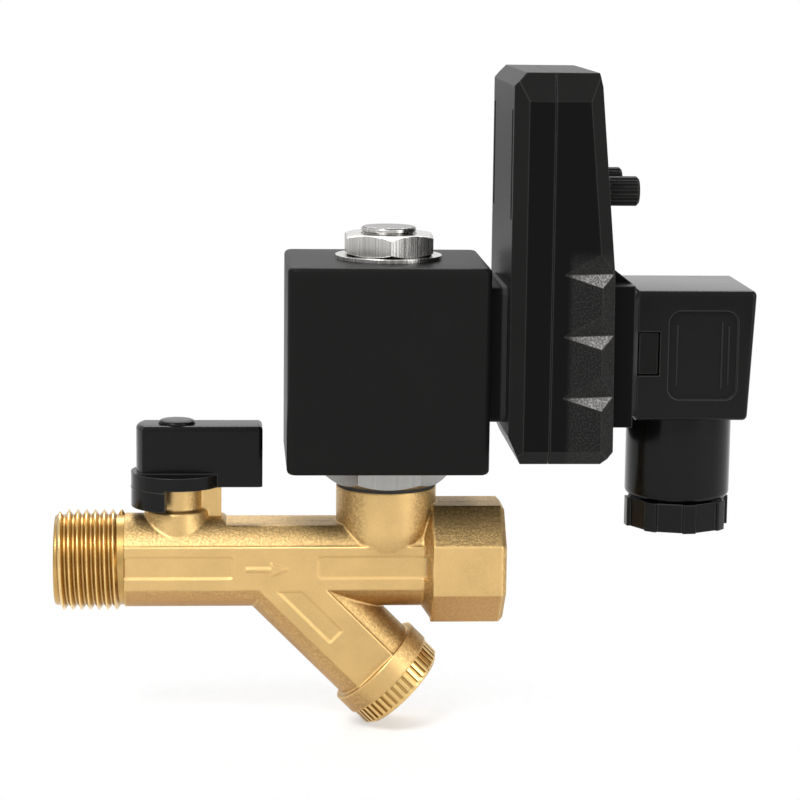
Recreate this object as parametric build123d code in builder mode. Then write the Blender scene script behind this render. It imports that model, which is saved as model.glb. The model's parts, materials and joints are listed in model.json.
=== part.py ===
from build123d import *
from math import cos, radians, sin, sqrt
import os

# Automatic drain valve: a Y-strainer body with a quarter-turn ball valve, a direct-acting
# solenoid valve, a timer and a DIN plug.  Millimetres.  The origin is the centre of the
# inlet thread's end face, +X runs along the flow, +Z is up and -Y is the front.

# ---- driving dimensions ----

# pipe threads (G 1/2) and the run between them
thread_r = 10.4775
thread_length = 14.4
thread_core_r = 9.3155
thread_depth = 12.0
run_r = 9.75
run_end_x = 76.2
pad_y = 9.2
pad_half = 4.6
pad_recess = 0.35
panel_half = 2.25
panel_radius = 0.7
panel_end_x = 36.8
rear_panel_x = 52.4
panel_lift = 0.2
arrow_x = 39.5
arrow_z = -0.2
arrow_shaft = 5.1
arrow_length = 8.8
arrow_half = 1.4
arrow_shaft_half = 0.4
arrow_height = 0.35
top_flat_z = 8.25
top_flat_x = 35.5
inlet_bore_r = 8.0
outlet_length = 15.1
outlet_flats = 24.7
outlet_cone = 1.8
outlet_chamfer = 0.9
passage_r = 4.0

# strainer branch, 45 degrees down from the run
branch_x = 44.6
branch_r = 9.6
branch_pad_half = 4.95
branch_panel_start = 6.93
branch_panel_end = 19.8
branch_panel_low = -2.4
branch_panel_high = 1.15
collar_start = 31.0
collar_length = 4.2
collar_r = 10.9
branch_bore_r = 7.4
branch_bore_top = -2.0
cap_plug_r = 7.95
cap_plug_length = 7.5
cap_head_r = 10.5
cap_head_length = 4.4
knurl_count = 44
knurl_depth = 0.5
knurl_width = 0.75
cap_travel_gap = 0.05
seal_groove_depth = 1.2
seal_groove_r = 9.7
screen_r = 5.95
screen_wall = 0.45
screen_hole_r = 0.9
screen_rows = 6
screen_hole_count = 10

# ball valve
stem_x = 25.2
ball_r = 6.8
ball_clear = 0.1
seat_length = 2.6
retainer_length = 8.4
bore_clear = 0.06
stem_r = 3.0
stem_clear = 0.05
stem_collar_r = 4.2
stem_collar_z = 7.1
stem_collar_h = 1.5
stem_tang = 2.8
stem_flat = 2.2
neck_r = 5.4
neck_foot_r = 6.6
neck_step_z = 11.4
neck_top_z = 15.95
gland_bore_r = 4.0
ring_wire_r = 0.45
post_start_x = 30.1
post_end_x = 34.4
post_half = 1.7
handle_gap = 0.25
handle_flange_r = 9.5
handle_flange_h = 2.7
handle_skirt_r = 7.7
handle_skirt_z = 11.75
handle_skirt_from = 14.3
handle_skirt_sweep = 241.4
handle_rear_r = 8.4
handle_width = 9.0
handle_reach = 17.7
handle_top_z = 28.9
handle_pocket_r = 3.4
handle_floor = 3.4
cap_stem_h = 4.5
cap_button_r = 3.8
cap_button_h = 1.1

# solenoid valve
coil_x = 68.7
boss_r = 10.4
boss_sphere_z = 7.6
boss_top_z = 15.9
chamber_r = 8.2
chamber_floor_z = 9.0
nozzle_r = 3.2
nozzle_h = 2.5
orifice_r = 2.0
bleed_r = 2.0
boss_seal_h = 0.5
hex_flats = 22.0
hex_h = 4.5
hex_cone_r = 10.3
spigot_r = 8.1
spigot_h = 3.6
tube_r = 6.5
tube_bore_r = 5.15
tube_top_z = 60.0
stud_r = 5.75
stud_top_z = 70.0
core_r = 5.1
core_face_z = 42.6
plunger_r = 5.08
plunger_travel = 2.5
seal_r = 2.8
seal_h = 2.0
seal_proud = 0.4
spring_wire_r = 0.35
spring_mean_r = 1.9
spring_pocket = 8.0
spring_turns = 7

# coil
coil_left_x = 47.6
coil_right_x = 88.6
coil_half_y = 18.4
coil_bottom_z = 21.2
coil_top_z = 63.3
coil_edge = 2.0
coil_bore_r = 6.75
coil_wall = 2.2
yoke_plate = 3.0
bobbin_wall = 1.2
bobbin_r = 13.2
winding_r = 12.4
coil_base_h = 2.4
base_half = 13.9
connector_z = 45.15
gasket_h = 1.0
washer_r = 10.95
washer_h = 0.9
nut_flats = 17.7
nut_h = 4.4
nut_chamfer = 0.7

# timer
timer_split_x = 100.1
timer_half_y = 22.5
timer_below = 21.15
timer_top_z = 102.4
timer_front_top_x = 109.35
timer_front_mid_x = 112.9
timer_front_bottom_x = 113.3
timer_bend_above = 17.0
timer_bevel = 2.8
timer_top_bevel = 5.6
timer_edge_y = 20.0
shell_wall = 2.6
shell_side = 5.0
shell_joint = 0.15
grip_start_x = 102.6
grip_pitch = 12.4
grip_above = 17.45
grip_count = 3
grip_depth = 2.6
grip_near_depth = 0.05
grip_mouth = 7.0
channel_y = 17.4
channel_z = 84.0
channel_width = 2.4
channel_length = 22.0
channel_depth = 0.5
board_x = 100.2
board_h = 1.6
block_y = 7.5
block_upper_z = 88.0
block_lower_z = 70.0
block_width = 14.0
block_height = 12.0
block_depth = 5.0
knob_z = 78.5
knob_inset = 10.5
knob_r = 3.0
knob_tip_x = 118.3
knob_flutes = 12
knob_clear = 0.3
pot_half = 4.75
pot_height = 3.6
button_z = 91.0
button_r = 2.6
button_proud = 1.6
button_travel = 1.0
switch_size = 6.0
switch_height = 2.6
switch_clear = 0.4
led_r = 1.5
led_half_pitch = 9.0
plinth_x = 118.0
plinth_above = 14.25
plinth_below = 14.75
plinth_ramp_above = 18.15
plinth_ramp_half = 9.0

# plug and cable gland
plug_gasket_h = 0.8
plug_length = 24.2
plug_half_z = 13.35
plug_half_y = 14.0
plug_lean = 1.3
plug_wall = 2.2
plug_panel_start = 6.3
plug_panel_margin = 3.7
plug_panel_below = 9.05
plug_panel_above = 9.25
plug_panel_depth = 0.8
plug_panel_r = 2.5
window_width = 4.5
window_below = 4.05
window_above = 4.95
window_gap = 0.3
gland_offset = 11.1
gland_neck_r = 10.9
gland_neck_h = 17.8
gland_neck_bore_r = 7.6
gland_nut_r = 9.9
gland_nut_lugs = 8
gland_nut_lug_w = 2.8
gland_nut_lug_r = 10.9
gland_nut_gap = 0.5
gland_nut_h = 6.0
gland_nut_turn = 6
gland_sleeve_h = 8.0
gland_sleeve_wall = 1.1
gland_nut_bore_r = 5.0
gland_thread_r = 7.5
cable_r = 3.5
blade_width = 6.3
blade_thick = 0.8
blade_pitch = 9.0
blade_length = 9.0
tab_setback = 2.0
screw_r = 1.5
screw_head_r = 3.2
screw_head_h = 2.2
screw_slot = 0.8
screw_reach = 5.0
socket_r = 1.4
fit = 0.05

# ---- worked-out values ----

diagonal = sqrt(2)
outlet_start_x = run_end_x + outlet_cone
outlet_end_x = outlet_start_x + outlet_length
collar_end = collar_start + collar_length
passage_z = -branch_bore_top / diagonal
neck_foot_z = sqrt(run_r**2 - neck_foot_r**2)
seat_half = ball_r + ball_clear
seat_face_x = sqrt(seat_half**2 - passage_r**2)
cavity_end_x = stem_x + seat_face_x + seat_length
seat_in_end_x = stem_x - seat_face_x
retainer_end_x = seat_in_end_x - seat_length
retainer_start_x = retainer_end_x - retainer_length
hex_bottom_z = boss_top_z + boss_seal_h
hex_top_z = hex_bottom_z + hex_h
nozzle_top_z = chamber_floor_z + nozzle_h
seal_bottom_z = nozzle_top_z + fit
plunger_bottom_z = seal_bottom_z + seal_proud
plunger_top_z = core_face_z - plunger_travel - 2 * fit
nut_bottom_z = coil_top_z + washer_h
handle_bottom_z = neck_top_z + handle_gap
gasket_x = coil_right_x + coil_base_h
timer_rear_x = gasket_x + gasket_h
yoke_outer_z = coil_top_z - coil_wall
yoke_inner_z = coil_bottom_z + coil_wall
bobbin_bottom_z = yoke_inner_z + yoke_plate
bobbin_top_z = yoke_outer_z - yoke_plate
tab_end_x = timer_rear_x + blade_length - tab_setback
timer_bottom_z = connector_z - timer_below
timer_bend_z = connector_z + timer_bend_above
upper_slope = (timer_front_mid_x - timer_front_top_x) / (timer_top_z - timer_bend_z)
lower_slope = (timer_front_bottom_x - timer_front_mid_x) / (timer_bend_z - timer_bottom_z)
grip_top_z = connector_z + grip_above
knob_half_pitch = timer_half_y - knob_inset
board_front_x = board_x + board_h
knob_rear_x = board_front_x + pot_height + fit
button_rear_x = board_front_x + switch_height + switch_clear + button_travel
plinth_top_z = connector_z + plinth_above
plinth_bottom_z = connector_z - plinth_below
plinth_ramp_z = connector_z + plinth_ramp_above
plug_start_x = plinth_x + plug_gasket_h
plug_end_x = plug_start_x + plug_length
plug_bottom_z = connector_z - plug_half_z
plug_top_z = connector_z + plug_half_z
plug_panel_x = plug_start_x + plug_panel_start
plug_panel_end = plug_end_x - plug_panel_margin
plug_panel_bottom = connector_z - plug_panel_below
plug_panel_top = connector_z + plug_panel_above
window_x = plug_start_x + window_width
window_bottom = connector_z - window_below
window_top = connector_z + window_above
gland_x = plug_start_x + gland_offset
gland_bottom_z = plug_bottom_z - gland_neck_h
gland_nut_top_z = gland_bottom_z - gland_nut_gap
gland_nut_bottom_z = gland_nut_top_z - gland_nut_h
block_end_x = plug_start_x + blade_length + 1.5

# the strainer's axis frame: local z points out of the branch, local x is +Y
branch = Plane(origin=(branch_x, 0, 0), x_dir=(0, 1, 0), z_dir=(1, 0, -1))


def front_x(z):
    """X of the timer's front face at a height, sloping more above the bend than below."""
    slope = upper_slope if z > timer_bend_z else lower_slope
    return timer_front_mid_x + slope * (timer_bend_z - z)


def branch_point(along, across):
    """X and Z of a point in the strainer branch's middle plane."""
    return branch_x + (along + across) / diagonal, (across - along) / diagonal


os.makedirs("parts", exist_ok=True)


def save(piece, name):
    """Label a finished piece and write it as its own STEP file."""
    piece.part.label = name
    export_step(piece.part, f"parts/{name}.step")


# ---- valve body ----

with BuildPart() as valve_body:
    # run, with the raised pads of its parting faces at the front and back
    with BuildSketch(Plane.YZ.offset(thread_length)):
        Circle(run_r)
    extrude(amount=run_end_x - thread_length)
    with BuildSketch(Plane.YZ.offset(thread_length)):
        Rectangle(2 * pad_y, 2 * pad_half)
    extrude(amount=run_end_x - thread_length)
    with BuildSketch(Plane.XZ):
        with BuildLine():
            Polyline(
                (top_flat_x, top_flat_z),
                (top_flat_x - 1.5, run_r + 1),
                (coil_x, run_r + 1),
                (coil_x, top_flat_z),
                close=True,
            )
        make_face()
    extrude(amount=run_r, both=True, mode=Mode.SUBTRACT)
    # threaded inlet stub
    with BuildSketch(Plane.YZ):
        Circle(thread_r)
    extrude(amount=thread_length)
    # strainer branch with its pads and collar
    with BuildSketch(branch):
        Circle(branch_r)
    extrude(amount=collar_start)
    with BuildSketch(branch):
        Rectangle(2 * pad_y, 2 * branch_pad_half)
    extrude(amount=collar_start)
    # run and branch are cut flat at the front and back, level with their pads
    for side in (-1, 1):
        with BuildSketch(Plane.XZ.offset(-side * pad_y)):
            with Locations(((thread_length + run_end_x) / 2, 0)):
                Rectangle(run_end_x - thread_length, 4 * collar_start)
        extrude(amount=-side * run_r, mode=Mode.SUBTRACT)
    with BuildSketch(branch.offset(collar_start)):
        Circle(collar_r)
    extrude(amount=collar_length)
    # solenoid boss with a ball-shaped foot
    with BuildSketch(Plane.XY.offset(boss_sphere_z)):
        with Locations((coil_x, 0)):
            Circle(boss_r)
    extrude(amount=boss_top_z - boss_sphere_z)
    with Locations((coil_x, 0, boss_sphere_z)):
        Sphere(boss_r)
    # stem neck: a flared foot, then a turned spigot
    with BuildSketch(Plane.XZ):
        with BuildLine():
            Polyline(
                (stem_x, 0),
                (stem_x + neck_foot_r + 0.9, 0),
                (stem_x + neck_foot_r + 0.9, neck_foot_z - 0.6),
                (stem_x + neck_foot_r, neck_step_z - 0.6),
                (stem_x + neck_r, neck_step_z),
                (stem_x + neck_r, neck_top_z),
                (stem_x, neck_top_z),
                close=True,
            )
        make_face()
    revolve(axis=Axis((stem_x, 0, 0), (0, 0, 1)))
    # stop post
    with BuildSketch(Plane.XY):
        with Locations(((post_start_x + post_end_x) / 2, 0)):
            Rectangle(post_end_x - post_start_x, 2 * post_half)
    extrude(amount=neck_top_z)
    # octagonal outlet
    with BuildSketch(Plane.YZ.offset(run_end_x - 0.01)):
        Circle(run_r)
    with BuildSketch(Plane.YZ.offset(outlet_start_x)):
        Circle(outlet_flats / 2)
    loft()
    with BuildSketch(Plane.YZ.offset(outlet_start_x)):
        RegularPolygon(outlet_flats / 2, 8, major_radius=False, rotation=22.5)
    extrude(amount=outlet_length)
    octagon_ends = edges().filter_by(lambda e: abs(e.length - outlet_flats * 0.4142) < 0.1)
    chamfer(octagon_ends.filter_by(Plane.YZ), outlet_chamfer)
    # shallow cast panels in the pads, front and back
    for side in (-1, 1):
        face_plane = Plane.XZ.offset(-side * (pad_y - pad_recess))
        with BuildSketch(face_plane):
            with Locations(((thread_length + panel_end_x) / 2, panel_lift)):
                RectangleRounded(panel_end_x - thread_length, 2 * panel_half, panel_radius)
            with Locations(((rear_panel_x + run_end_x) / 2 + 2, panel_lift)):
                RectangleRounded(run_end_x - rear_panel_x, 2 * panel_half, panel_radius)
            with BuildLine():
                Polyline(
                    branch_point(branch_panel_start + branch_panel_low, branch_panel_low),
                    branch_point(branch_panel_start + branch_panel_high, branch_panel_high),
                    branch_point(branch_panel_end, branch_panel_high),
                    branch_point(branch_panel_end, branch_panel_low),
                    close=True,
                )
            make_face()
        extrude(amount=-side * 2, mode=Mode.SUBTRACT)
    # cast flow arrow on the front pad
    with BuildSketch(Plane.XZ.offset(pad_y)):
        with BuildLine():
            Polyline(
                (arrow_x, arrow_z + arrow_shaft_half),
                (arrow_x + arrow_shaft, arrow_z + arrow_shaft_half),
                (arrow_x + arrow_shaft, arrow_z + arrow_half),
                (arrow_x + arrow_length, arrow_z),
                (arrow_x + arrow_shaft, arrow_z - arrow_half),
                (arrow_x + arrow_shaft, arrow_z - arrow_shaft_half),
                (arrow_x, arrow_z - arrow_shaft_half),
                close=True,
            )
        make_face()
    extrude(amount=arrow_height)
    # inlet bore and ball cavity, then the passage to the strainer
    with BuildSketch(Plane.YZ):
        Circle(inlet_bore_r)
    extrude(amount=cavity_end_x, mode=Mode.SUBTRACT)
    with BuildSketch(Plane.YZ.offset(stem_x)):
        with Locations((0, passage_z)):
            Circle(passage_r - 0.2)
    extrude(amount=branch_x - stem_x, mode=Mode.SUBTRACT)
    # strainer bore and the seal recess at its mouth
    with BuildSketch(branch.offset(branch_bore_top)):
        Circle(branch_bore_r)
    extrude(amount=collar_end - branch_bore_top, mode=Mode.SUBTRACT)
    with BuildSketch(branch.offset(collar_end - cap_plug_length - 1)):
        Circle(cap_plug_r + bore_clear)
    extrude(amount=cap_plug_length + 1, mode=Mode.SUBTRACT)
    with BuildSketch(branch.offset(collar_end - seal_groove_depth)):
        Circle(seal_groove_r)
    extrude(amount=seal_groove_depth, mode=Mode.SUBTRACT)
    # stem bores
    with BuildSketch(Plane.XY.offset(stem_collar_z - 1.5)):
        with Locations((stem_x, 0)):
            Circle(stem_collar_r + fit)
    extrude(amount=stem_collar_h + 1.5 + fit, mode=Mode.SUBTRACT)
    with BuildSketch(Plane.XY.offset(stem_collar_z)):
        with Locations((stem_x, 0)):
            Circle(stem_r + stem_clear)
    extrude(amount=neck_top_z, mode=Mode.SUBTRACT)
    with BuildSketch(Plane.XY.offset(stem_collar_z + stem_collar_h + 1.2)):
        with Locations((stem_x, 0)):
            Circle(gland_bore_r)
    extrude(amount=neck_top_z, mode=Mode.SUBTRACT)
    # valve chamber around the nozzle, its feed from the strainer and the outlet passage
    with BuildSketch(Plane.XY.offset(chamber_floor_z)):
        with Locations((coil_x, 0)):
            Circle(chamber_r)
            Circle(nozzle_r, mode=Mode.SUBTRACT)
    extrude(amount=boss_top_z - chamber_floor_z, mode=Mode.SUBTRACT)
    with BuildSketch(Plane.XY.offset(nozzle_top_z)):
        with Locations((coil_x, 0)):
            Circle(chamber_r)
    extrude(amount=boss_top_z, mode=Mode.SUBTRACT)
    with BuildSketch(Plane.XY):
        with Locations((coil_x, 0)):
            Circle(orifice_r)
    extrude(amount=boss_top_z, mode=Mode.SUBTRACT)
    feed = Plane(origin=(coil_x - 6.1, 0, chamber_floor_z + 0.5), z_dir=(-5.3, 0, -12))
    with BuildSketch(feed):
        Circle(bleed_r)
    extrude(amount=14.5, mode=Mode.SUBTRACT)
    with BuildSketch(Plane.YZ.offset(coil_x - passage_r)):
        Circle(passage_r)
    extrude(amount=outlet_end_x - coil_x, mode=Mode.SUBTRACT)
    with BuildSketch(Plane.YZ.offset(outlet_end_x - thread_depth)):
        Circle(thread_core_r)
    extrude(amount=thread_depth, mode=Mode.SUBTRACT)
save(valve_body, "valve_body")

# ---- ball valve ----

with BuildPart() as ball:
    with Locations((stem_x, 0, 0)):
        Sphere(ball_r)
    with BuildSketch(Plane.YZ.offset(stem_x)):
        Circle(passage_r)
    extrude(amount=ball_r, both=True, mode=Mode.SUBTRACT)
    # drive slot for the stem's tang
    with BuildSketch(Plane.XY.offset(ball_r - 1.9)):
        with Locations((stem_x, 0)):
            Rectangle(stem_tang + 2 * fit, 2 * ball_r)
    extrude(amount=ball_r, mode=Mode.SUBTRACT)
save(ball, "ball")

for name, side in (("ball_seat_inlet", -1), ("ball_seat_outlet", 1)):
    with BuildPart() as seat:
        with BuildSketch(Plane.YZ.offset(stem_x + side * seat_face_x)):
            Circle(inlet_bore_r - bore_clear)
            Circle(passage_r, mode=Mode.SUBTRACT)
        extrude(amount=side * seat_length)
        # inner lip that follows the ball
        with BuildSketch(Plane.YZ.offset(stem_x + side * (seat_face_x - 1.2))):
            Circle(inlet_bore_r - bore_clear)
            Circle(passage_r, mode=Mode.SUBTRACT)
        extrude(amount=side * 1.2)
        with Locations(Location((stem_x, 0, 0), (0, 0, 90))):
            Sphere(seat_half, mode=Mode.SUBTRACT)
    save(seat, name)

with BuildPart() as ball_retainer:
    with BuildSketch(Plane.YZ.offset(retainer_start_x)):
        Circle(inlet_bore_r - bore_clear)
        Circle(passage_r + 0.6, mode=Mode.SUBTRACT)
    extrude(amount=retainer_length)
    # two slots for the assembly key
    with BuildSketch(Plane.YZ.offset(retainer_start_x)):
        Rectangle(2 * inlet_bore_r, 2.0)
    extrude(amount=1.6, mode=Mode.SUBTRACT)
save(ball_retainer, "ball_retainer")

with BuildPart() as stem:
    with BuildSketch(Plane.XY.offset(ball_r - 1.9 + fit)):
        with Locations((stem_x, 0)):
            Circle(3.4)
            Rectangle(stem_tang, 8, mode=Mode.INTERSECT)
    extrude(amount=stem_collar_z - ball_r + 1.9 - fit)
    with BuildSketch(Plane.XY.offset(stem_collar_z)):
        with Locations((stem_x, 0)):
            Circle(stem_collar_r)
    extrude(amount=stem_collar_h)
    with BuildSketch(Plane.XY.offset(stem_collar_z)):
        with Locations((stem_x, 0)):
            Circle(stem_r)
    extrude(amount=handle_bottom_z - stem_collar_z)
    # double-flat drive for the handle, tapped for the handle screw
    with BuildSketch(Plane.XY.offset(handle_bottom_z)):
        with Locations((stem_x, 0)):
            Circle(stem_r)
            Rectangle(2 * stem_r, 2 * stem_flat, mode=Mode.INTERSECT)
    extrude(amount=handle_floor)
    with BuildSketch(Plane.XY.offset(handle_bottom_z - screw_reach - 1)):
        with Locations((stem_x, 0)):
            Circle(screw_r + fit)
    extrude(amount=handle_floor + screw_reach + 1, mode=Mode.SUBTRACT)
save(stem, "stem")

with BuildPart() as stem_o_rings:
    for ring_z in (stem_collar_z + stem_collar_h + 2.2, stem_collar_z + stem_collar_h + 4.8):
        with Locations((stem_x, 0, ring_z)):
            Torus((stem_r + gland_bore_r) / 2, ring_wire_r)
save(stem_o_rings, "stem_o_rings")

with BuildPart() as handle:
    with BuildSketch(Plane.XY.offset(handle_bottom_z)):
        with Locations((stem_x, 0)):
            Circle(handle_flange_r)
    extrude(amount=handle_flange_h)
    # lever: round behind the stem, straight along the flow
    with BuildSketch(Plane.XY.offset(handle_bottom_z)):
        with Locations((stem_x, 0)):
            Circle(handle_rear_r)
            Rectangle(2 * handle_rear_r, handle_width, mode=Mode.INTERSECT)
        with Locations((stem_x + handle_reach / 2, 0)):
            Rectangle(handle_reach, handle_width)
    extrude(amount=handle_top_z - handle_bottom_z)
    lever_top = faces().sort_by(Axis.Z)[-1]
    fillet(lever_top.edges(), 1.0)
    tip_edges = edges().filter_by(Axis.Z).sort_by(Axis.X)[-2:]
    fillet(tip_edges, 0.9)
    # stop skirt under the flange
    with BuildSketch(Plane.XY.offset(handle_skirt_z)):
        with BuildLine():
            skirt_end = handle_skirt_from + handle_skirt_sweep
            centre = (stem_x, 0)
            outer = CenterArc(centre, handle_flange_r, handle_skirt_from, handle_skirt_sweep)
            inner = CenterArc(centre, handle_skirt_r, handle_skirt_from, handle_skirt_sweep)
            Line(outer @ 0, inner @ 0)
            Line(outer @ 1, inner @ 1)
        make_face()
    extrude(amount=handle_bottom_z - handle_skirt_z + 0.5)
    # stem socket and the screw pocket above it
    with BuildSketch(Plane.XY.offset(handle_bottom_z - 1)):
        with Locations((stem_x, 0)):
            Circle(stem_r + fit)
            Rectangle(2 * stem_r + 1, 2 * (stem_flat + fit), mode=Mode.INTERSECT)
    extrude(amount=handle_floor + 1, mode=Mode.SUBTRACT)
    with BuildSketch(Plane.XY.offset(handle_bottom_z + handle_floor)):
        with Locations((stem_x, 0)):
            Circle(handle_pocket_r)
    extrude(amount=handle_top_z, mode=Mode.SUBTRACT)
save(handle, "handle")

with BuildPart() as handle_screw:
    with BuildSketch(Plane.XY.offset(handle_bottom_z - screw_reach)):
        with Locations((stem_x, 0)):
            Circle(screw_r)
    extrude(amount=handle_floor + screw_reach)
    with BuildSketch(Plane.XY.offset(handle_bottom_z + handle_floor)):
        with Locations((stem_x, 0)):
            Circle(screw_head_r)
    extrude(amount=screw_head_h)
    with BuildSketch(Plane.XY.offset(handle_bottom_z + handle_floor + screw_head_h)):
        with Locations((stem_x, 0)):
            RegularPolygon(socket_r, 6)
    extrude(amount=-socket_r, mode=Mode.SUBTRACT)
save(handle_screw, "handle_screw")

with BuildPart() as handle_cap:
    with BuildSketch(Plane.XY.offset(handle_top_z - cap_stem_h)):
        with Locations((stem_x, 0)):
            Circle(handle_pocket_r - fit)
    extrude(amount=cap_stem_h)
    with BuildSketch(Plane.XY.offset(handle_top_z)):
        with Locations((stem_x, 0)):
            Circle(cap_button_r)
    extrude(amount=cap_button_h)
    fillet(faces().sort_by(Axis.Z)[-1].edges(), cap_button_h * 0.8)
save(handle_cap, "handle_cap")

# ---- strainer ----

with BuildPart() as strainer_screen:
    with BuildSketch(branch.offset(branch_bore_top + fit)):
        Circle(screen_r)
        Circle(screen_r - screen_wall, mode=Mode.SUBTRACT)
    extrude(amount=collar_end - branch_bore_top - 3 - fit)
    # perforations, stopped short of the collar where the cap holds the screen
    row_pitch = (collar_start - cap_plug_length + 1) / screen_rows
    for row in range(screen_rows):
        row_plane = branch.offset(3.0 + row * row_pitch)
        for hole in range(screen_hole_count // 2):
            turn = 180 * (hole + 0.5 * (row % 2)) / (screen_hole_count // 2)
            out = row_plane.x_dir * cos(radians(turn)) + row_plane.y_dir * sin(radians(turn))
            with BuildSketch(Plane(origin=row_plane.origin, z_dir=out)):
                Circle(screen_hole_r)
            extrude(amount=screen_r + 1, both=True, mode=Mode.SUBTRACT)
save(strainer_screen, "strainer_screen")

with BuildPart() as strainer_cap:
    # head with coarse grip serrations, chamfered at its outer end
    with BuildSketch(branch.offset(collar_end + cap_travel_gap)):
        Circle(cap_head_r)
    extrude(amount=cap_head_length)
    chamfer(edges().sort_by(Axis(branch.origin, branch.z_dir))[-1], 0.9)
    with BuildSketch(branch.offset(collar_end + cap_travel_gap)):
        with PolarLocations(cap_head_r, knurl_count):
            Rectangle(2 * knurl_depth, knurl_width, rotation=0)
    extrude(amount=cap_head_length, mode=Mode.SUBTRACT)
    # plug that closes the bore and centres the screen
    with BuildSketch(branch.offset(collar_end - cap_plug_length)):
        Circle(cap_plug_r)
    extrude(amount=cap_plug_length + cap_travel_gap)
    with BuildSketch(branch.offset(collar_end - cap_plug_length)):
        Circle(screen_r + bore_clear)
    extrude(amount=cap_plug_length - 3 + fit, mode=Mode.SUBTRACT)
save(strainer_cap, "strainer_cap")

with BuildPart() as cap_gasket:
    with BuildSketch(branch.offset(collar_end - seal_groove_depth + fit)):
        Circle(seal_groove_r - 0.1)
        Circle(cap_plug_r + bore_clear, mode=Mode.SUBTRACT)
    extrude(amount=seal_groove_depth - fit)
save(cap_gasket, "cap_gasket")

# ---- solenoid valve ----

with BuildPart() as tube_o_ring:
    with BuildSketch(Plane.XY.offset(boss_top_z)):
        with Locations((coil_x, 0)):
            Circle(boss_r - 0.2)
            Circle(spigot_r + fit, mode=Mode.SUBTRACT)
    extrude(amount=boss_seal_h)
save(tube_o_ring, "tube_o_ring")

with BuildPart() as armature_tube:
    with BuildSketch(Plane.XY.offset(hex_bottom_z)):
        with Locations((coil_x, 0)):
            RegularPolygon(hex_flats / 2, 6, major_radius=False)
    extrude(amount=hex_h)
    # turned lower corners of the hexagon
    with BuildSketch(Plane.XZ):
        with BuildLine():
            Polyline(
                (coil_x, hex_bottom_z),
                (coil_x + hex_cone_r, hex_bottom_z),
                (coil_x + hex_cone_r + 2.6, hex_bottom_z + 1.5),
                (coil_x + hex_cone_r + 2.6, hex_top_z - 0.7),
                (coil_x + hex_cone_r + 1.6, hex_top_z),
                (coil_x, hex_top_z),
                close=True,
            )
        make_face()
    revolve(axis=Axis((coil_x, 0, 0), (0, 0, 1)), mode=Mode.INTERSECT)
    with BuildSketch(Plane.XY.offset(hex_bottom_z - spigot_h)):
        with Locations((coil_x, 0)):
            Circle(spigot_r)
    extrude(amount=spigot_h)
    with BuildSketch(Plane.XY.offset(hex_top_z)):
        with Locations((coil_x, 0)):
            Circle(tube_r)
    extrude(amount=tube_top_z - hex_top_z)
    with BuildSketch(Plane.XY.offset(hex_bottom_z - spigot_h)):
        with Locations((coil_x, 0)):
            Circle(tube_bore_r)
    extrude(amount=tube_top_z, mode=Mode.SUBTRACT)
save(armature_tube, "armature_tube")

with BuildPart() as fixed_core:
    with BuildSketch(Plane.XY.offset(core_face_z)):
        with Locations((coil_x, 0)):
            Circle(core_r)
    extrude(amount=tube_top_z - core_face_z)
    with BuildSketch(Plane.XY.offset(tube_top_z)):
        with Locations((coil_x, 0)):
            Circle(stud_r)
    extrude(amount=stud_top_z - tube_top_z)
    chamfer(faces().sort_by(Axis.Z)[-1].edges(), 1.0)
save(fixed_core, "fixed_core")

with BuildPart() as plunger:
    with BuildSketch(Plane.XY.offset(plunger_bottom_z)):
        with Locations((coil_x, 0)):
            Circle(plunger_r)
    extrude(amount=plunger_top_z - plunger_bottom_z)
    with BuildSketch(Plane.XY.offset(plunger_bottom_z)):
        with Locations((coil_x, 0)):
            Circle(seal_r + fit)
    extrude(amount=seal_h - seal_proud, mode=Mode.SUBTRACT)
    with BuildSketch(Plane.XY.offset(plunger_top_z)):
        with Locations((coil_x, 0)):
            Circle(spring_mean_r + spring_wire_r + 0.3)
    extrude(amount=-spring_pocket, mode=Mode.SUBTRACT)
save(plunger, "plunger")

with BuildPart() as plunger_seal:
    with BuildSketch(Plane.XY.offset(seal_bottom_z)):
        with Locations((coil_x, 0)):
            Circle(seal_r)
    extrude(amount=seal_h)
save(plunger_seal, "plunger_seal")

spring_bottom_z = plunger_top_z - spring_pocket + spring_wire_r + fit
spring_height = core_face_z - spring_wire_r - fit - spring_bottom_z
spring_axis = Plane(origin=(coil_x, 0, spring_bottom_z))
spring_path = spring_axis * Helix(spring_height / spring_turns, spring_height, spring_mean_r)

with BuildPart() as plunger_spring:
    with BuildLine():
        add(spring_path)
    with BuildSketch(Plane(origin=spring_path @ 0, z_dir=spring_path % 0)):
        Circle(spring_wire_r)
    sweep(is_frenet=True)
save(plunger_spring, "plunger_spring")

# ---- coil ----

coil_mid_x = (coil_left_x + coil_right_x) / 2
coil_width = coil_right_x - coil_left_x

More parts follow.
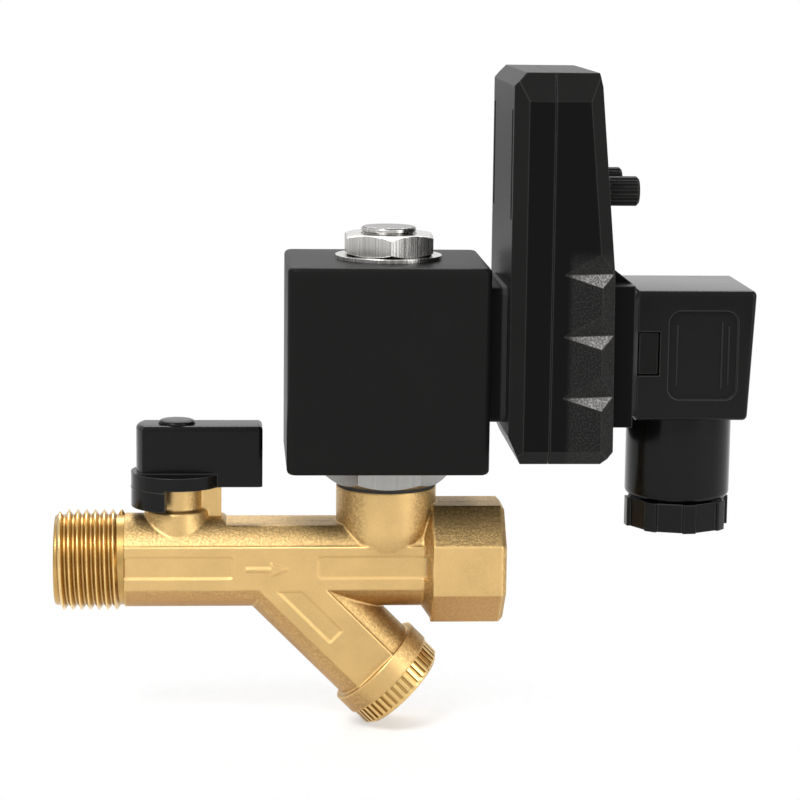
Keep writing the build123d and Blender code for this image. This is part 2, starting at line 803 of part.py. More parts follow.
with BuildPart() as coil_housing:
    with BuildSketch(Plane.XY.offset(coil_bottom_z)):
        with Locations((coil_mid_x, 0)):
            RectangleRounded(coil_width, 2 * coil_half_y, coil_edge)
    extrude(amount=coil_top_z - coil_bottom_z)
    fillet(faces().sort_by(Axis.Z)[-1].edges(), 1.0)
    fillet(faces().sort_by(Axis.Z)[0].edges(), 1.0)
    # connector base
    with BuildSketch(Plane.YZ.offset(coil_right_x)):
        with Locations((0, connector_z)):
            RectangleRounded(2 * base_half, 2 * base_half, 2.0)
    extrude(amount=coil_base_h)
    # pocket for the winding and its iron frame, and the tube bore
    with BuildSketch(Plane.XY.offset(yoke_inner_z)):
        with Locations((coil_mid_x, 0)):
            Rectangle(coil_width - 2 * coil_wall, 2 * (bobbin_r + fit))
    extrude(amount=yoke_outer_z - yoke_inner_z, mode=Mode.SUBTRACT)
    with BuildSketch(Plane.XY.offset(coil_bottom_z)):
        with Locations((coil_x, 0)):
            Circle(coil_bore_r)
    extrude(amount=coil_top_z, mode=Mode.SUBTRACT)
    # blade slots and the fixing screw's hole
    with BuildSketch(Plane.YZ.offset(coil_right_x - coil_wall)):
        with Locations((blade_pitch, connector_z), (-blade_pitch, connector_z)):
            Rectangle(blade_thick + 2 * fit, blade_width + 2 * fit)
        with Locations((0, connector_z - blade_pitch)):
            Rectangle(blade_width + 2 * fit, blade_thick + 2 * fit)
        with Locations((0, connector_z)):
            Circle(screw_r + fit)
    extrude(amount=coil_wall + coil_base_h, mode=Mode.SUBTRACT)
save(coil_housing, "coil_housing")

with BuildPart() as coil_yoke:
    with BuildSketch(Plane.XZ):
        with Locations((coil_mid_x, (yoke_inner_z + yoke_outer_z) / 2)):
            Rectangle(coil_width - 2 * coil_wall - 2 * fit, yoke_outer_z - yoke_inner_z - 2 * fit)
            Rectangle(
                coil_width - 2 * coil_wall - 2 * fit - 2 * yoke_plate,
                bobbin_top_z - bobbin_bottom_z,
                mode=Mode.SUBTRACT,
            )
    extrude(amount=bobbin_r - 1, both=True)
    with BuildSketch(Plane.XY.offset(coil_bottom_z)):
        with Locations((coil_x, 0)):
            Circle(coil_bore_r)
    extrude(amount=coil_top_z, mode=Mode.SUBTRACT)
    # clearance for the screw's threaded end
    with BuildSketch(Plane.YZ.offset(coil_right_x - coil_wall - yoke_plate - 1)):
        with Locations((0, connector_z)):
            Circle(screw_r + fit)
    extrude(amount=yoke_plate + 2, mode=Mode.SUBTRACT)
save(coil_yoke, "coil_yoke")

with BuildPart() as coil_bobbin:
    with BuildSketch(Plane.XY.offset(bobbin_bottom_z + fit)):
        with Locations((coil_x, 0)):
            Circle(bobbin_r)
    extrude(amount=bobbin_top_z - bobbin_bottom_z - 2 * fit)
    with BuildSketch(Plane.XY.offset(bobbin_bottom_z + fit + bobbin_wall)):
        with Locations((coil_x, 0)):
            Circle(bobbin_r + 1)
            Circle(coil_bore_r + bobbin_wall, mode=Mode.SUBTRACT)
    extrude(amount=bobbin_top_z - bobbin_bottom_z - 2 * (fit + bobbin_wall), mode=Mode.SUBTRACT)
    with BuildSketch(Plane.XY.offset(bobbin_bottom_z)):
        with Locations((coil_x, 0)):
            Circle(coil_bore_r)
    extrude(amount=coil_top_z, mode=Mode.SUBTRACT)
save(coil_bobbin, "coil_bobbin")

with BuildPart() as coil_winding:
    with BuildSketch(Plane.XY.offset(bobbin_bottom_z + 2 * fit + bobbin_wall)):
        with Locations((coil_x, 0)):
            Circle(winding_r)
            Circle(coil_bore_r + bobbin_wall + fit, mode=Mode.SUBTRACT)
    extrude(amount=bobbin_top_z - bobbin_bottom_z - 2 * (2 * fit + bobbin_wall))
save(coil_winding, "coil_winding")

with BuildPart() as coil_tabs:
    with BuildSketch(Plane.YZ.offset(coil_right_x - coil_wall)):
        with Locations((blade_pitch, connector_z), (-blade_pitch, connector_z)):
            Rectangle(blade_thick, blade_width)
        with Locations((0, connector_z - blade_pitch)):
            Rectangle(blade_width, blade_thick)
    extrude(amount=tab_end_x - coil_right_x + coil_wall)
save(coil_tabs, "coil_tabs")

with BuildPart() as coil_gasket:
    with BuildSketch(Plane.YZ.offset(gasket_x)):
        with Locations((0, connector_z)):
            RectangleRounded(2 * base_half, 2 * base_half, 2.0)
        with Locations((blade_pitch, connector_z), (-blade_pitch, connector_z)):
            Rectangle(blade_thick + 2 * fit, blade_width + 2 * fit, mode=Mode.SUBTRACT)
        with Locations((0, connector_z - blade_pitch)):
            Rectangle(blade_width + 2 * fit, blade_thick + 2 * fit, mode=Mode.SUBTRACT)
        with Locations((0, connector_z)):
            Circle(screw_r + fit, mode=Mode.SUBTRACT)
    extrude(amount=timer_rear_x - gasket_x)
save(coil_gasket, "coil_gasket")

with BuildPart() as coil_washer:
    with BuildSketch(Plane.XY.offset(coil_top_z)):
        with Locations((coil_x, 0)):
            Circle(washer_r)
            Circle(stud_r + 0.2, mode=Mode.SUBTRACT)
    extrude(amount=washer_h)
save(coil_washer, "coil_washer")

with BuildPart() as coil_nut:
    with BuildSketch(Plane.XY.offset(nut_bottom_z)):
        with Locations((coil_x, 0)):
            RegularPolygon(nut_flats / 2, 6, major_radius=False, rotation=30)
    extrude(amount=nut_h)
    with BuildSketch(Plane.XZ):
        with BuildLine():
            nut_corner = nut_flats / sqrt(3)
            Polyline(
                (coil_x, nut_bottom_z),
                (coil_x + nut_corner - 1.4, nut_bottom_z),
                (coil_x + nut_corner, nut_bottom_z + nut_chamfer),
                (coil_x + nut_corner, nut_bottom_z + nut_h - nut_chamfer),
                (coil_x + nut_corner - 1.4, nut_bottom_z + nut_h),
                (coil_x, nut_bottom_z + nut_h),
                close=True,
            )
        make_face()
    revolve(axis=Axis((coil_x, 0, 0), (0, 0, 1)), mode=Mode.INTERSECT)
    with BuildSketch(Plane.XY.offset(nut_bottom_z)):
        with Locations((coil_x, 0)):
            Circle(stud_r + fit)
    extrude(amount=nut_h, mode=Mode.SUBTRACT)
save(coil_nut, "coil_nut")

# ---- timer ----


def end_outline(shrink):
    """Timer seen along X: bevelled top and bottom corners, drawn on a YZ plane."""
    half = timer_half_y - shrink
    edge = timer_edge_y - shrink
    top = timer_top_z - shrink
    bottom = timer_bottom_z + shrink
    Polyline(
        (-half, bottom + timer_bevel),
        (-edge, bottom),
        (edge, bottom),
        (half, bottom + timer_bevel),
        (half, top - timer_top_bevel),
        (edge, top),
        (-edge, top),
        (-half, top - timer_top_bevel),
        close=True,
    )


with BuildPart() as timer_rear_shell:
    with BuildSketch(Plane.XZ):
        with BuildLine():
            Polyline(
                (timer_rear_x, timer_bottom_z + 5.5),
                (timer_rear_x + 2.4, timer_bottom_z),
                (timer_split_x - shell_joint / 2, timer_bottom_z),
                (timer_split_x - shell_joint / 2, timer_top_z),
                (timer_rear_x + 2.4, timer_top_z),
                (timer_rear_x, timer_top_z - 2.6),
                close=True,
            )
        make_face()
    extrude(amount=timer_half_y, both=True)
    with BuildSketch(Plane.YZ.offset(timer_rear_x)):
        with BuildLine():
            end_outline(0)
        make_face()
    extrude(amount=timer_split_x - timer_rear_x, mode=Mode.INTERSECT)
    with BuildSketch(Plane.XY):
        with BuildLine():
            Polyline(
                (timer_rear_x, -timer_edge_y),
                (timer_rear_x + timer_bevel, -timer_half_y),
                (timer_split_x, -timer_half_y),
                (timer_split_x, timer_half_y),
                (timer_rear_x + timer_bevel, timer_half_y),
                (timer_rear_x, timer_edge_y),
                close=True,
            )
        make_face()
    extrude(amount=timer_top_z, mode=Mode.INTERSECT)
    # hollow inside, open towards the front shell
    with BuildSketch(Plane.YZ.offset(timer_rear_x + shell_wall)):
        with Locations((0, (timer_bottom_z + timer_top_z) / 2)):
            RectangleRounded(
                2 * (timer_half_y - shell_side),
                timer_top_z - timer_bottom_z - 2 * shell_side,
                1.5,
            )
    extrude(amount=timer_split_x - timer_rear_x, mode=Mode.SUBTRACT)
    # blade slots and the fixing screw's hole
    with BuildSketch(Plane.YZ.offset(timer_rear_x)):
        with Locations((blade_pitch, connector_z), (-blade_pitch, connector_z)):
            Rectangle(blade_thick + 2 * fit, blade_width + 2 * fit)
        with Locations((0, connector_z - blade_pitch)):
            Rectangle(blade_width + 2 * fit, blade_thick + 2 * fit)
        with Locations((0, connector_z)):
            Circle(screw_r + fit)
    extrude(amount=shell_wall, mode=Mode.SUBTRACT)
    # long shallow channels down the rear face
    with BuildSketch(Plane.YZ.offset(timer_rear_x)):
        with Locations((-channel_y, channel_z), (channel_y, channel_z)):
            Rectangle(channel_width, channel_length)
    extrude(amount=channel_depth, mode=Mode.SUBTRACT)
save(timer_rear_shell, "timer_rear_shell")

with BuildPart() as timer_front_shell:
    # sloping front, drawn in side view
    with BuildSketch(Plane.XZ):
        with BuildLine():
            Polyline(
                (timer_split_x + shell_joint / 2, timer_bottom_z),
                (front_x(timer_bottom_z) - 2.6, timer_bottom_z),
                (front_x(timer_bottom_z), timer_bottom_z + 2.5),
                (timer_front_mid_x, timer_bend_z),
                (front_x(timer_top_z - 2.8), timer_top_z - 2.8),
                (front_x(timer_top_z) - 0.5, timer_top_z),
                (timer_split_x + shell_joint / 2, timer_top_z),
                close=True,
            )
        make_face()
    extrude(amount=timer_half_y, both=True)
    with BuildSketch(Plane.YZ.offset(timer_split_x)):
        with BuildLine():
            end_outline(0)
        make_face()
    extrude(amount=timer_front_bottom_x - timer_split_x, mode=Mode.INTERSECT)
    # upright corner bevels that follow both slopes
    for slope in (upper_slope, lower_slope):
        corner_x = timer_front_mid_x + slope * timer_bend_z
        with BuildSketch(Plane.XY):
            with BuildLine():
                Polyline(
                    (timer_split_x - 12, -timer_half_y),
                    (corner_x - timer_bevel, -timer_half_y),
                    (corner_x, -timer_edge_y),
                    (corner_x, timer_edge_y),
                    (corner_x - timer_bevel, timer_half_y),
                    (timer_split_x - 12, timer_half_y),
                    close=True,
                )
            make_face()
        extrude(amount=timer_top_z + 1, dir=(-slope, 0, 1), mode=Mode.INTERSECT)
    # grip notches in both sides: a ledge below, a long slope above
    for side in (-1, 1):
        for step in range(grip_count):
            deep_z = grip_top_z - step * grip_pitch
            mouth_y = side * (timer_half_y + 0.2)
            with BuildSketch(Plane.YZ.offset(grip_start_x)):
                with BuildLine():
                    Polyline(
                        (side * (timer_half_y - grip_near_depth), deep_z),
                        (mouth_y, deep_z + 0.8),
                        (mouth_y, deep_z - 0.4),
                        close=True,
                    )
                make_face()
            with BuildSketch(Plane.YZ.offset(front_x(deep_z) + 1)):
                with BuildLine():
                    Polyline(
                        (side * (timer_half_y - grip_depth), deep_z),
                        (mouth_y, deep_z + grip_mouth),
                        (mouth_y, deep_z - grip_depth * 1.6),
                        close=True,
                    )
                make_face()
            loft(mode=Mode.SUBTRACT)
    # plug plinth with a ramp above it
    with BuildSketch(Plane.XZ):
        with BuildLine():
            Polyline(
                (timer_front_top_x, plinth_bottom_z),
                (plinth_x, plinth_bottom_z),
                (plinth_x, plinth_top_z),
                (timer_front_top_x, plinth_top_z),
                close=True,
            )
        make_face()
    extrude(amount=base_half, both=True)
    with BuildSketch(Plane.XZ):
        with BuildLine():
            Polyline(
                (timer_front_top_x, plinth_top_z - 1),
                (plinth_x, plinth_top_z - 1),
                (plinth_x, plinth_top_z),
                (front_x(plinth_ramp_z), plinth_ramp_z),
                (timer_front_top_x, plinth_ramp_z),
                close=True,
            )
        make_face()
    extrude(amount=plinth_ramp_half, both=True)
    # hollow inside, open towards the rear shell
    with BuildSketch(Plane.XZ):
        with BuildLine():
            Polyline(
                (timer_split_x - 1, timer_bottom_z + shell_side),
                (front_x(timer_bottom_z) - shell_wall, timer_bottom_z + shell_side),
                (front_x(timer_top_z) - shell_wall, timer_top_z - shell_side),
                (timer_split_x - 1, timer_top_z - shell_side),
                close=True,
            )
        make_face()
    extrude(amount=timer_half_y - shell_side, both=True, mode=Mode.SUBTRACT)
    # knob wells, button and lamp holes through the front
    with BuildSketch(Plane.YZ.offset(timer_split_x + 5)):
        with Locations((-knob_half_pitch, knob_z), (knob_half_pitch, knob_z)):
            Circle(knob_r + knob_clear)
        with Locations((0, button_z)):
            Circle(button_r + knob_clear)
        with Locations((-led_half_pitch, button_z), (led_half_pitch, button_z)):
            Circle(led_r + fit)
    extrude(amount=20, mode=Mode.SUBTRACT)
    # screw and contact passages through the plinth
    with BuildSketch(Plane.YZ.offset(timer_split_x)):
        with Locations((0, connector_z)):
            Circle(screw_r + fit)
        with Locations((blade_pitch, connector_z), (-blade_pitch, connector_z)):
            Rectangle(blade_thick + 2 * fit, blade_width + 2 * fit)
        with Locations((0, connector_z - blade_pitch)):
            Rectangle(blade_width + 2 * fit, blade_thick + 2 * fit)
    extrude(amount=plinth_x - timer_split_x, mode=Mode.SUBTRACT)
save(timer_front_shell, "timer_front_shell")

with BuildPart() as timer_board:
    with BuildSketch(Plane.YZ.offset(board_x)):
        with Locations((0, (connector_z + base_half + timer_top_z - shell_side) / 2)):
            Rectangle(
                2 * (timer_half_y - shell_side - 0.1),
                timer_top_z - shell_side - 0.1 - connector_z - base_half,
            )
    extrude(amount=board_h)
    # transformer and relay blocks on the rear side of the board
    with BuildSketch(Plane.YZ.offset(board_x)):
        with Locations((-block_y, block_upper_z), (block_y, block_lower_z)):
            Rectangle(block_width, block_height)
    extrude(amount=-block_depth)
save(timer_board, "timer_board")

with BuildPart() as potentiometers:
    with BuildSketch(Plane.YZ.offset(board_front_x)):
        with Locations((-knob_half_pitch, knob_z), (knob_half_pitch, knob_z)):
            Rectangle(2 * pot_half, 2 * pot_half)
    extrude(amount=pot_height)
save(potentiometers, "potentiometers")

for name, side in (("knob_on", -1), ("knob_off", 1)):
    with BuildPart() as knob:
        with BuildSketch(Plane.YZ.offset(knob_rear_x)):
            with Locations((side * knob_half_pitch, knob_z)):
                Circle(knob_r)
        extrude(amount=knob_tip_x - knob_rear_x)
        chamfer(faces().sort_by(Axis.X)[-1].edges(), 0.5)
        # grip flutes and a pointer slot in the end
        with BuildSketch(Plane.YZ.offset(front_x(knob_z) + 0.8)):
            with Locations((side * knob_half_pitch, knob_z)):
                with PolarLocations(knob_r + 0.15, knob_flutes):
                    Circle(0.42)
        extrude(amount=10, mode=Mode.SUBTRACT)
        with BuildSketch(Plane.YZ.offset(knob_tip_x)):
            with Locations((side * knob_half_pitch, knob_z)):
                Rectangle(0.9, 2 * knob_r)
        extrude(amount=-0.9, mode=Mode.SUBTRACT)
    save(knob, name)

with BuildPart() as test_button:
    with BuildSketch(Plane.YZ.offset(button_rear_x)):
        with Locations((0, button_z)):
            Circle(button_r)
    extrude(amount=front_x(button_z) + button_proud - button_rear_x)
    fillet(faces().sort_by(Axis.X)[-1].edges(), 0.5)
save(test_button, "test_button")

with BuildPart() as button_switch:
    with BuildSketch(Plane.YZ.offset(board_front_x)):
        with Locations((0, button_z)):
            Rectangle(switch_size, switch_size)
    extrude(amount=switch_height)
save(button_switch, "button_switch")

with BuildPart() as indicator_lamps:
    with BuildSketch(Plane.YZ.offset(board_front_x)):
        with Locations((-led_half_pitch, button_z), (led_half_pitch, button_z)):
            Circle(led_r)
    extrude(amount=front_x(button_z) + 0.6 - board_front_x)
save(indicator_lamps, "indicator_lamps")

with BuildPart() as timer_sockets:
    with BuildSketch(Plane.YZ.offset(timer_rear_x + shell_wall)):
        with Locations((0, connector_z)):
            RectangleRounded(2 * (base_half - 1.2), 2 * (base_half - 1.2), 1.5)
            Circle(screw_r + fit, mode=Mode.SUBTRACT)
        with Locations((blade_pitch, connector_z), (-blade_pitch, connector_z)):
            Rectangle(blade_thick + 2 * fit, blade_width + 2 * fit, mode=Mode.SUBTRACT)
        with Locations((0, connector_z - blade_pitch)):
            Rectangle(blade_width + 2 * fit, blade_thick + 2 * fit, mode=Mode.SUBTRACT)
    extrude(amount=tab_end_x - timer_rear_x - shell_wall + 0.5)
save(timer_sockets, "timer_sockets")

tab_start_x = tab_end_x + 0.6

with BuildPart() as timer_tabs:
    with BuildSketch(Plane.YZ.offset(tab_start_x)):
        with Locations((blade_pitch, connector_z), (-blade_pitch, connector_z)):
            Rectangle(blade_thick, blade_width)
        with Locations((0, connector_z - blade_pitch)):
            Rectangle(blade_width, blade_thick)
    extrude(amount=plug_start_x + blade_length - tab_start_x)
save(timer_tabs, "timer_tabs")

# ---- plug and cable gland ----

with BuildPart() as plug_gasket:
    with BuildSketch(Plane.YZ.offset(plinth_x)):
        with Locations((0, connector_z)):
            RectangleRounded(2 * base_half - 1, plug_top_z - plug_bottom_z - 1, 2.0)
            Circle(screw_r + fit, mode=Mode.SUBTRACT)
        with Locations((blade_pitch, connector_z), (-blade_pitch, connector_z)):
            Rectangle(blade_thick + 2 * fit, blade_width + 2 * fit, mode=Mode.SUBTRACT)
        with Locations((0, connector_z - blade_pitch)):
            Rectangle(blade_width + 2 * fit, blade_thick + 2 * fit, mode=Mode.SUBTRACT)
    extrude(amount=plug_start_x - plinth_x)
save(plug_gasket, "plug_gasket")

with BuildPart() as plug_housing:
    with BuildSketch(Plane.XZ):
        with BuildLine():
            Polyline(
                (plug_start_x, plug_bottom_z),
                (plug_end_x - plug_lean, plug_bottom_z),
                (plug_end_x, plug_top_z),
                (plug_start_x, plug_top_z),
                close=True,
            )
        make_face()
    extrude(amount=plug_half_y, both=True)
    long_edges = edges().filter_by(Axis.X)
    fillet(long_edges, 1.2)
    fillet(faces().sort_by(Axis.X)[-1].edges(), 1.0)
    # gland neck
    with BuildSketch(Plane.XY.offset(plug_bottom_z + 1)):
        with Locations((gland_x, 0)):
            Circle(gland_neck_r)
    extrude(amount=gland_bottom_z - plug_bottom_z - 1)
    fillet(faces().sort_by(Axis.Z)[0].edges(), 1.2)
    # recessed side panels
    for side in (-1, 1):
        with BuildSketch(Plane.XZ.offset(-side * (plug_half_y - plug_panel_depth))):
            with Locations(
                (
                    (plug_panel_x + plug_panel_end) / 2,
                    (plug_panel_bottom + plug_panel_top) / 2,
                )
            ):
                RectangleRounded(
                    plug_panel_end - plug_panel_x,
                    plug_panel_top - plug_panel_bottom,
                    plug_panel_r,
                )
        extrude(amount=-side * 2, mode=Mode.SUBTRACT)
    # inside: the terminal space, open towards the timer
    with BuildSketch(Plane.YZ.offset(plug_start_x)):
        with Locations((0, connector_z)):
            Rectangle(
                2 * (plug_half_y - plug_wall),
                plug_top_z - plug_bottom_z - 2 * plug_wall,
            )
    extrude(amount=plug_end_x - plug_lean - plug_start_x - plug_wall, mode=Mode.SUBTRACT)
    # windows that the contact block's latches fill
    with BuildSketch(Plane.XZ):
        with Locations(((plug_start_x + window_x) / 2, (window_bottom + window_top) / 2)):
            Rectangle(window_x - plug_start_x, window_top - window_bottom)
    extrude(amount=plug_half_y, both=True, mode=Mode.SUBTRACT)
    # cable way through the neck, and the fixing screw's hole
    with BuildSketch(Plane.XY.offset(gland_bottom_z)):
        with Locations((gland_x, 0)):
            Circle(gland_neck_bore_r)
    extrude(amount=plug_bottom_z + plug_wall - gland_bottom_z, mode=Mode.SUBTRACT)
    with BuildSketch(Plane.YZ.offset(plug_end_x - 8)):
        with Locations((0, connector_z)):
            Circle(screw_head_r + fit)
    extrude(amount=8, mode=Mode.SUBTRACT)
save(plug_housing, "plug_housing")

with BuildPart() as plug_contact_block:
    with BuildSketch(Plane.YZ.offset(plug_start_x + fit)):
        with Locations((0, connector_z)):
            Rectangle(
                2 * (plug_half_y - plug_wall - fit),
                plug_top_z - plug_bottom_z - 2 * (plug_wall + fit),
            )
    extrude(amount=block_end_x - plug_start_x)
    # latches that fill the housing's windows
    with BuildSketch(Plane.XZ):
        with Locations(
            (
                (plug_start_x + window_x) / 2,
                (window_bottom + window_top) / 2,
            )
        ):
            Rectangle(window_width - 2 * window_gap, window_top - window_bottom - 2 * window_gap)
    extrude(amount=plug_half_y - 0.5, both=True)
    with BuildSketch(Plane.YZ.offset(plug_start_x)):
        with Locations((blade_pitch, connector_z), (-blade_pitch, connector_z)):
            Rectangle(blade_thick + 2.0, blade_width + 1.0)
        with Locations((0, connector_z - blade_pitch)):
            Rectangle(blade_width + 1.0, blade_thick + 2.0)
        with Locations((0, connector_z)):
            Circle(screw_r + fit)
    extrude(amount=block_end_x, mode=Mode.SUBTRACT)
save(plug_contact_block, "plug_contact_block")

with BuildPart() as plug_contacts:
    with BuildSketch(Plane.YZ.offset(plug_start_x + 0.5)):
        with Locations((blade_pitch, connector_z), (-blade_pitch, connector_z)):
            Rectangle(blade_thick + 1.8, blade_width + 0.8)
            Rectangle(blade_thick + 2 * fit, blade_width + 2 * fit, mode=Mode.SUBTRACT)
        with Locations((0, connector_z - blade_pitch)):
            Rectangle(blade_width + 0.8, blade_thick + 1.8)
            Rectangle(blade_width + 2 * fit, blade_thick + 2 * fit, mode=Mode.SUBTRACT)
    extrude(amount=blade_length)
save(plug_contacts, "plug_contacts")

with BuildPart() as plug_screw:
    with BuildSketch(Plane.YZ.offset(coil_right_x - coil_wall - 2.0)):
        with Locations((0, connector_z)):
            Circle(screw_r)
    extrude(amount=plug_end_x - 1.5 - coil_right_x + coil_wall + 2.0)
    with BuildSketch(Plane.YZ.offset(plug_end_x - 3.0)):
        with Locations((0, connector_z)):
            Circle(screw_head_r)
    extrude(amount=screw_head_h)
    with BuildSketch(Plane.YZ.offset(plug_end_x - 3.0 + screw_head_h)):
        with Locations((0, connector_z)):
            Rectangle(2 * screw_head_r, screw_slot)
    extrude(amount=-1.0, mode=Mode.SUBTRACT)
save(plug_screw, "plug_screw")

with BuildPart() as gland_seal:
    with BuildSketch(Plane.XY.offset(gland_nut_top_z + 1.5)):
        with Locations((gland_x, 0)):
            Circle(gland_thread_r - 1.2)
            Circle(cable_r, mode=Mode.SUBTRACT)
    extrude(amount=9)
save(gland_seal, "gland_seal")

with BuildPart() as gland_washer:
    with BuildSketch(Plane.XY.offset(gland_nut_top_z + 0.6)):
        with Locations((gland_x, 0)):
            Circle(gland_thread_r - 1.2)
            Circle(cable_r + 0.3, mode=Mode.SUBTRACT)
    extrude(amount=0.9)
save(gland_washer, "gland_washer")

with BuildPart() as gland_nut:
    with BuildSketch(Plane.XY.offset(gland_nut_bottom_z)):
        with Locations((gland_x, 0)):
            RegularPolygon(gland_nut_r, gland_nut_lugs, major_radius=False, rotation=gland_nut_turn)
            with PolarLocations(gland_nut_lug_r - 1.5, gland_nut_lugs, start_angle=gland_nut_turn):
                RectangleRounded(3.0, gland_nut_lug_w, 0.3)
    extrude(amount=gland_nut_top_z - gland_nut_bottom_z)
    # threaded sleeve that screws into the neck
    with BuildSketch(Plane.XY.offset(gland_nut_top_z)):
        with Locations((gland_x, 0)):
            Circle(gland_thread_r)
            Circle(gland_thread_r - gland_sleeve_wall, mode=Mode.SUBTRACT)
    extrude(amount=gland_sleeve_h)
    with BuildSketch(Plane.XY.offset(gland_nut_bottom_z)):
        with Locations((gland_x, 0)):
            Circle(gland_nut_bore_r)
    extrude(amount=gland_nut_top_z - gland_nut_bottom_z + 1, mode=Mode.SUBTRACT)
save(gland_nut, "gland_nut")
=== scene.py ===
import json
import math

import bmesh
import bpy
from mathutils import Matrix, Vector


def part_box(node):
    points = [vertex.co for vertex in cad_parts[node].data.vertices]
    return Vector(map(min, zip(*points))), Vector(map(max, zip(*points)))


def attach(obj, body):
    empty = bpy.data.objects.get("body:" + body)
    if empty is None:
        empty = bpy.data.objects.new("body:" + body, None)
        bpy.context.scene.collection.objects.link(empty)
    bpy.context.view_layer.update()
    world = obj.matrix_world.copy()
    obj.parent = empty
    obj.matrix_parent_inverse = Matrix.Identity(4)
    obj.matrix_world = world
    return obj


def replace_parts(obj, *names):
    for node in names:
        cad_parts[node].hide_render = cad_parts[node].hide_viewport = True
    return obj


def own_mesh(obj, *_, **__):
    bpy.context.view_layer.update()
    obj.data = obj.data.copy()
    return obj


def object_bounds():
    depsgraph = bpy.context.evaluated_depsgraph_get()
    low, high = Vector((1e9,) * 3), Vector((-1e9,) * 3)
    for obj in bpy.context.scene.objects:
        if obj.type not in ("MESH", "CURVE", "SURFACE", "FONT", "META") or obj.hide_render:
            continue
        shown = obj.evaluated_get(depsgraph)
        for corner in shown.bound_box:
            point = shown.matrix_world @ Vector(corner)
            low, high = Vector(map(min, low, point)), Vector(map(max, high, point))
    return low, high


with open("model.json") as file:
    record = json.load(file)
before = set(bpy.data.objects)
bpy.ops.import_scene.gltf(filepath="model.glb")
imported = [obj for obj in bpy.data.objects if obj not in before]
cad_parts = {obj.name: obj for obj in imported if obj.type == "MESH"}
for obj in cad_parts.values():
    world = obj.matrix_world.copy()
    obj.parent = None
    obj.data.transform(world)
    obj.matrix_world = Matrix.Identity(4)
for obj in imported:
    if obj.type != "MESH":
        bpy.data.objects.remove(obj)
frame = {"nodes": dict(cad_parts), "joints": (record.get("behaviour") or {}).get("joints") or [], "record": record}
CAD_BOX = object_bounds()
SLOTS = {entry["node"]: entry["material_slot"] for entry in frame["record"]["subparts"]}
MM = 0.001

bl_info = {
    "name": "Automatic Drain Valve",
    "version": (1, 0, 0),
    "blender": (4, 5, 0),
    "location": "View3D > Sidebar > Drain Valve",
    "description": "Dresses a timer-controlled solenoid drain valve with finishes and threads",
    "category": "Object",
}


# ---- settings ----


class ThreadSettings(bpy.types.PropertyGroup):
    """The pipe threads and the stud's thread."""

    crest_radius: bpy.props.FloatProperty(
        name="Inlet crest radius", description="Outer radius of the male pipe thread",
        default=10.4775 * MM, unit="LENGTH")
    root_radius: bpy.props.FloatProperty(
        name="Thread root radius", description="Radius at the bottom of the pipe thread",
        default=9.40 * MM, unit="LENGTH")
    pitch: bpy.props.FloatProperty(
        name="Pitch", description="Distance between two turns of the pipe thread",
        default=1.814 * MM, unit="LENGTH")
    stub_length: bpy.props.FloatProperty(
        name="Stub length", description="Length of the threaded inlet",
        default=14.4 * MM, unit="LENGTH")
    bore_radius: bpy.props.FloatProperty(
        name="Inlet bore radius", description="Radius of the bore inside the inlet",
        default=8.0 * MM, unit="LENGTH")
    outlet_core: bpy.props.FloatProperty(
        name="Outlet core radius", description="Radius of the outlet's thread at its crests",
        default=9.3155 * MM, unit="LENGTH")
    outlet_root: bpy.props.FloatProperty(
        name="Outlet root radius", description="Radius of the outlet's thread at its roots",
        default=10.35 * MM, unit="LENGTH")
    outlet_depth: bpy.props.FloatProperty(
        name="Outlet depth", description="Depth of the threaded outlet",
        default=12.0 * MM, unit="LENGTH")
    stud_pitch: bpy.props.FloatProperty(
        name="Stud pitch", description="Distance between two turns on the stud",
        default=1.0 * MM, unit="LENGTH")
    stud_radius: bpy.props.FloatProperty(
        name="Stud radius", description="Outer radius of the threaded stud",
        default=5.72 * MM, unit="LENGTH")


class FinishSettings(bpy.types.PropertyGroup):
    """Colours of the finishes."""

    cast_brass: bpy.props.FloatVectorProperty(
        name="Cast brass", description="Colour of the blasted brass casting",
        subtype="COLOR", size=3, default=(0.55, 0.37, 0.155))
    turned_brass: bpy.props.FloatVectorProperty(
        name="Turned brass", description="Colour of the machined brass",
        subtype="COLOR", size=3, default=(0.68, 0.475, 0.195))
    black: bpy.props.FloatVectorProperty(
        name="Black plastic", description="Colour of the black mouldings",
        subtype="COLOR", size=3, default=(0.0076, 0.0074, 0.0072))
    steel: bpy.props.FloatVectorProperty(
        name="Steel", description="Colour of the nut, washer and tube",
        subtype="COLOR", size=3, default=(0.60, 0.59, 0.57))
    edge_radius: bpy.props.FloatProperty(
        name="Edge softness", description="Radius that softens the moulded and cast edges",
        default=0.35 * MM, unit="LENGTH")
    # painted highlight: how many times lighter the plastic's rounded edges are painted
    edge_light: bpy.props.FloatProperty(
        name="Edge highlight", description="How much lighter the rubbed plastic edges are",
        default=5.0)


class DetailSettings(bpy.types.PropertyGroup):
    """Small mouldings and prints that the CAD parts leave out."""

    rib_width: bpy.props.FloatProperty(
        name="Rib width", description="Width of the ribs in the plug's side recess",
        default=0.35 * MM, unit="LENGTH")
    rib_height: bpy.props.FloatProperty(
        name="Rib height", description="How far the ribs stand out of the recess",
        default=0.35 * MM, unit="LENGTH")
    mark_radius: bpy.props.FloatProperty(
        name="Dial mark radius", description="Distance of the dial marks from the knob's axis",
        default=5.4 * MM, unit="LENGTH")
    mark_count: bpy.props.IntProperty(
        name="Dial marks", description="Number of marks round each knob", default=11)


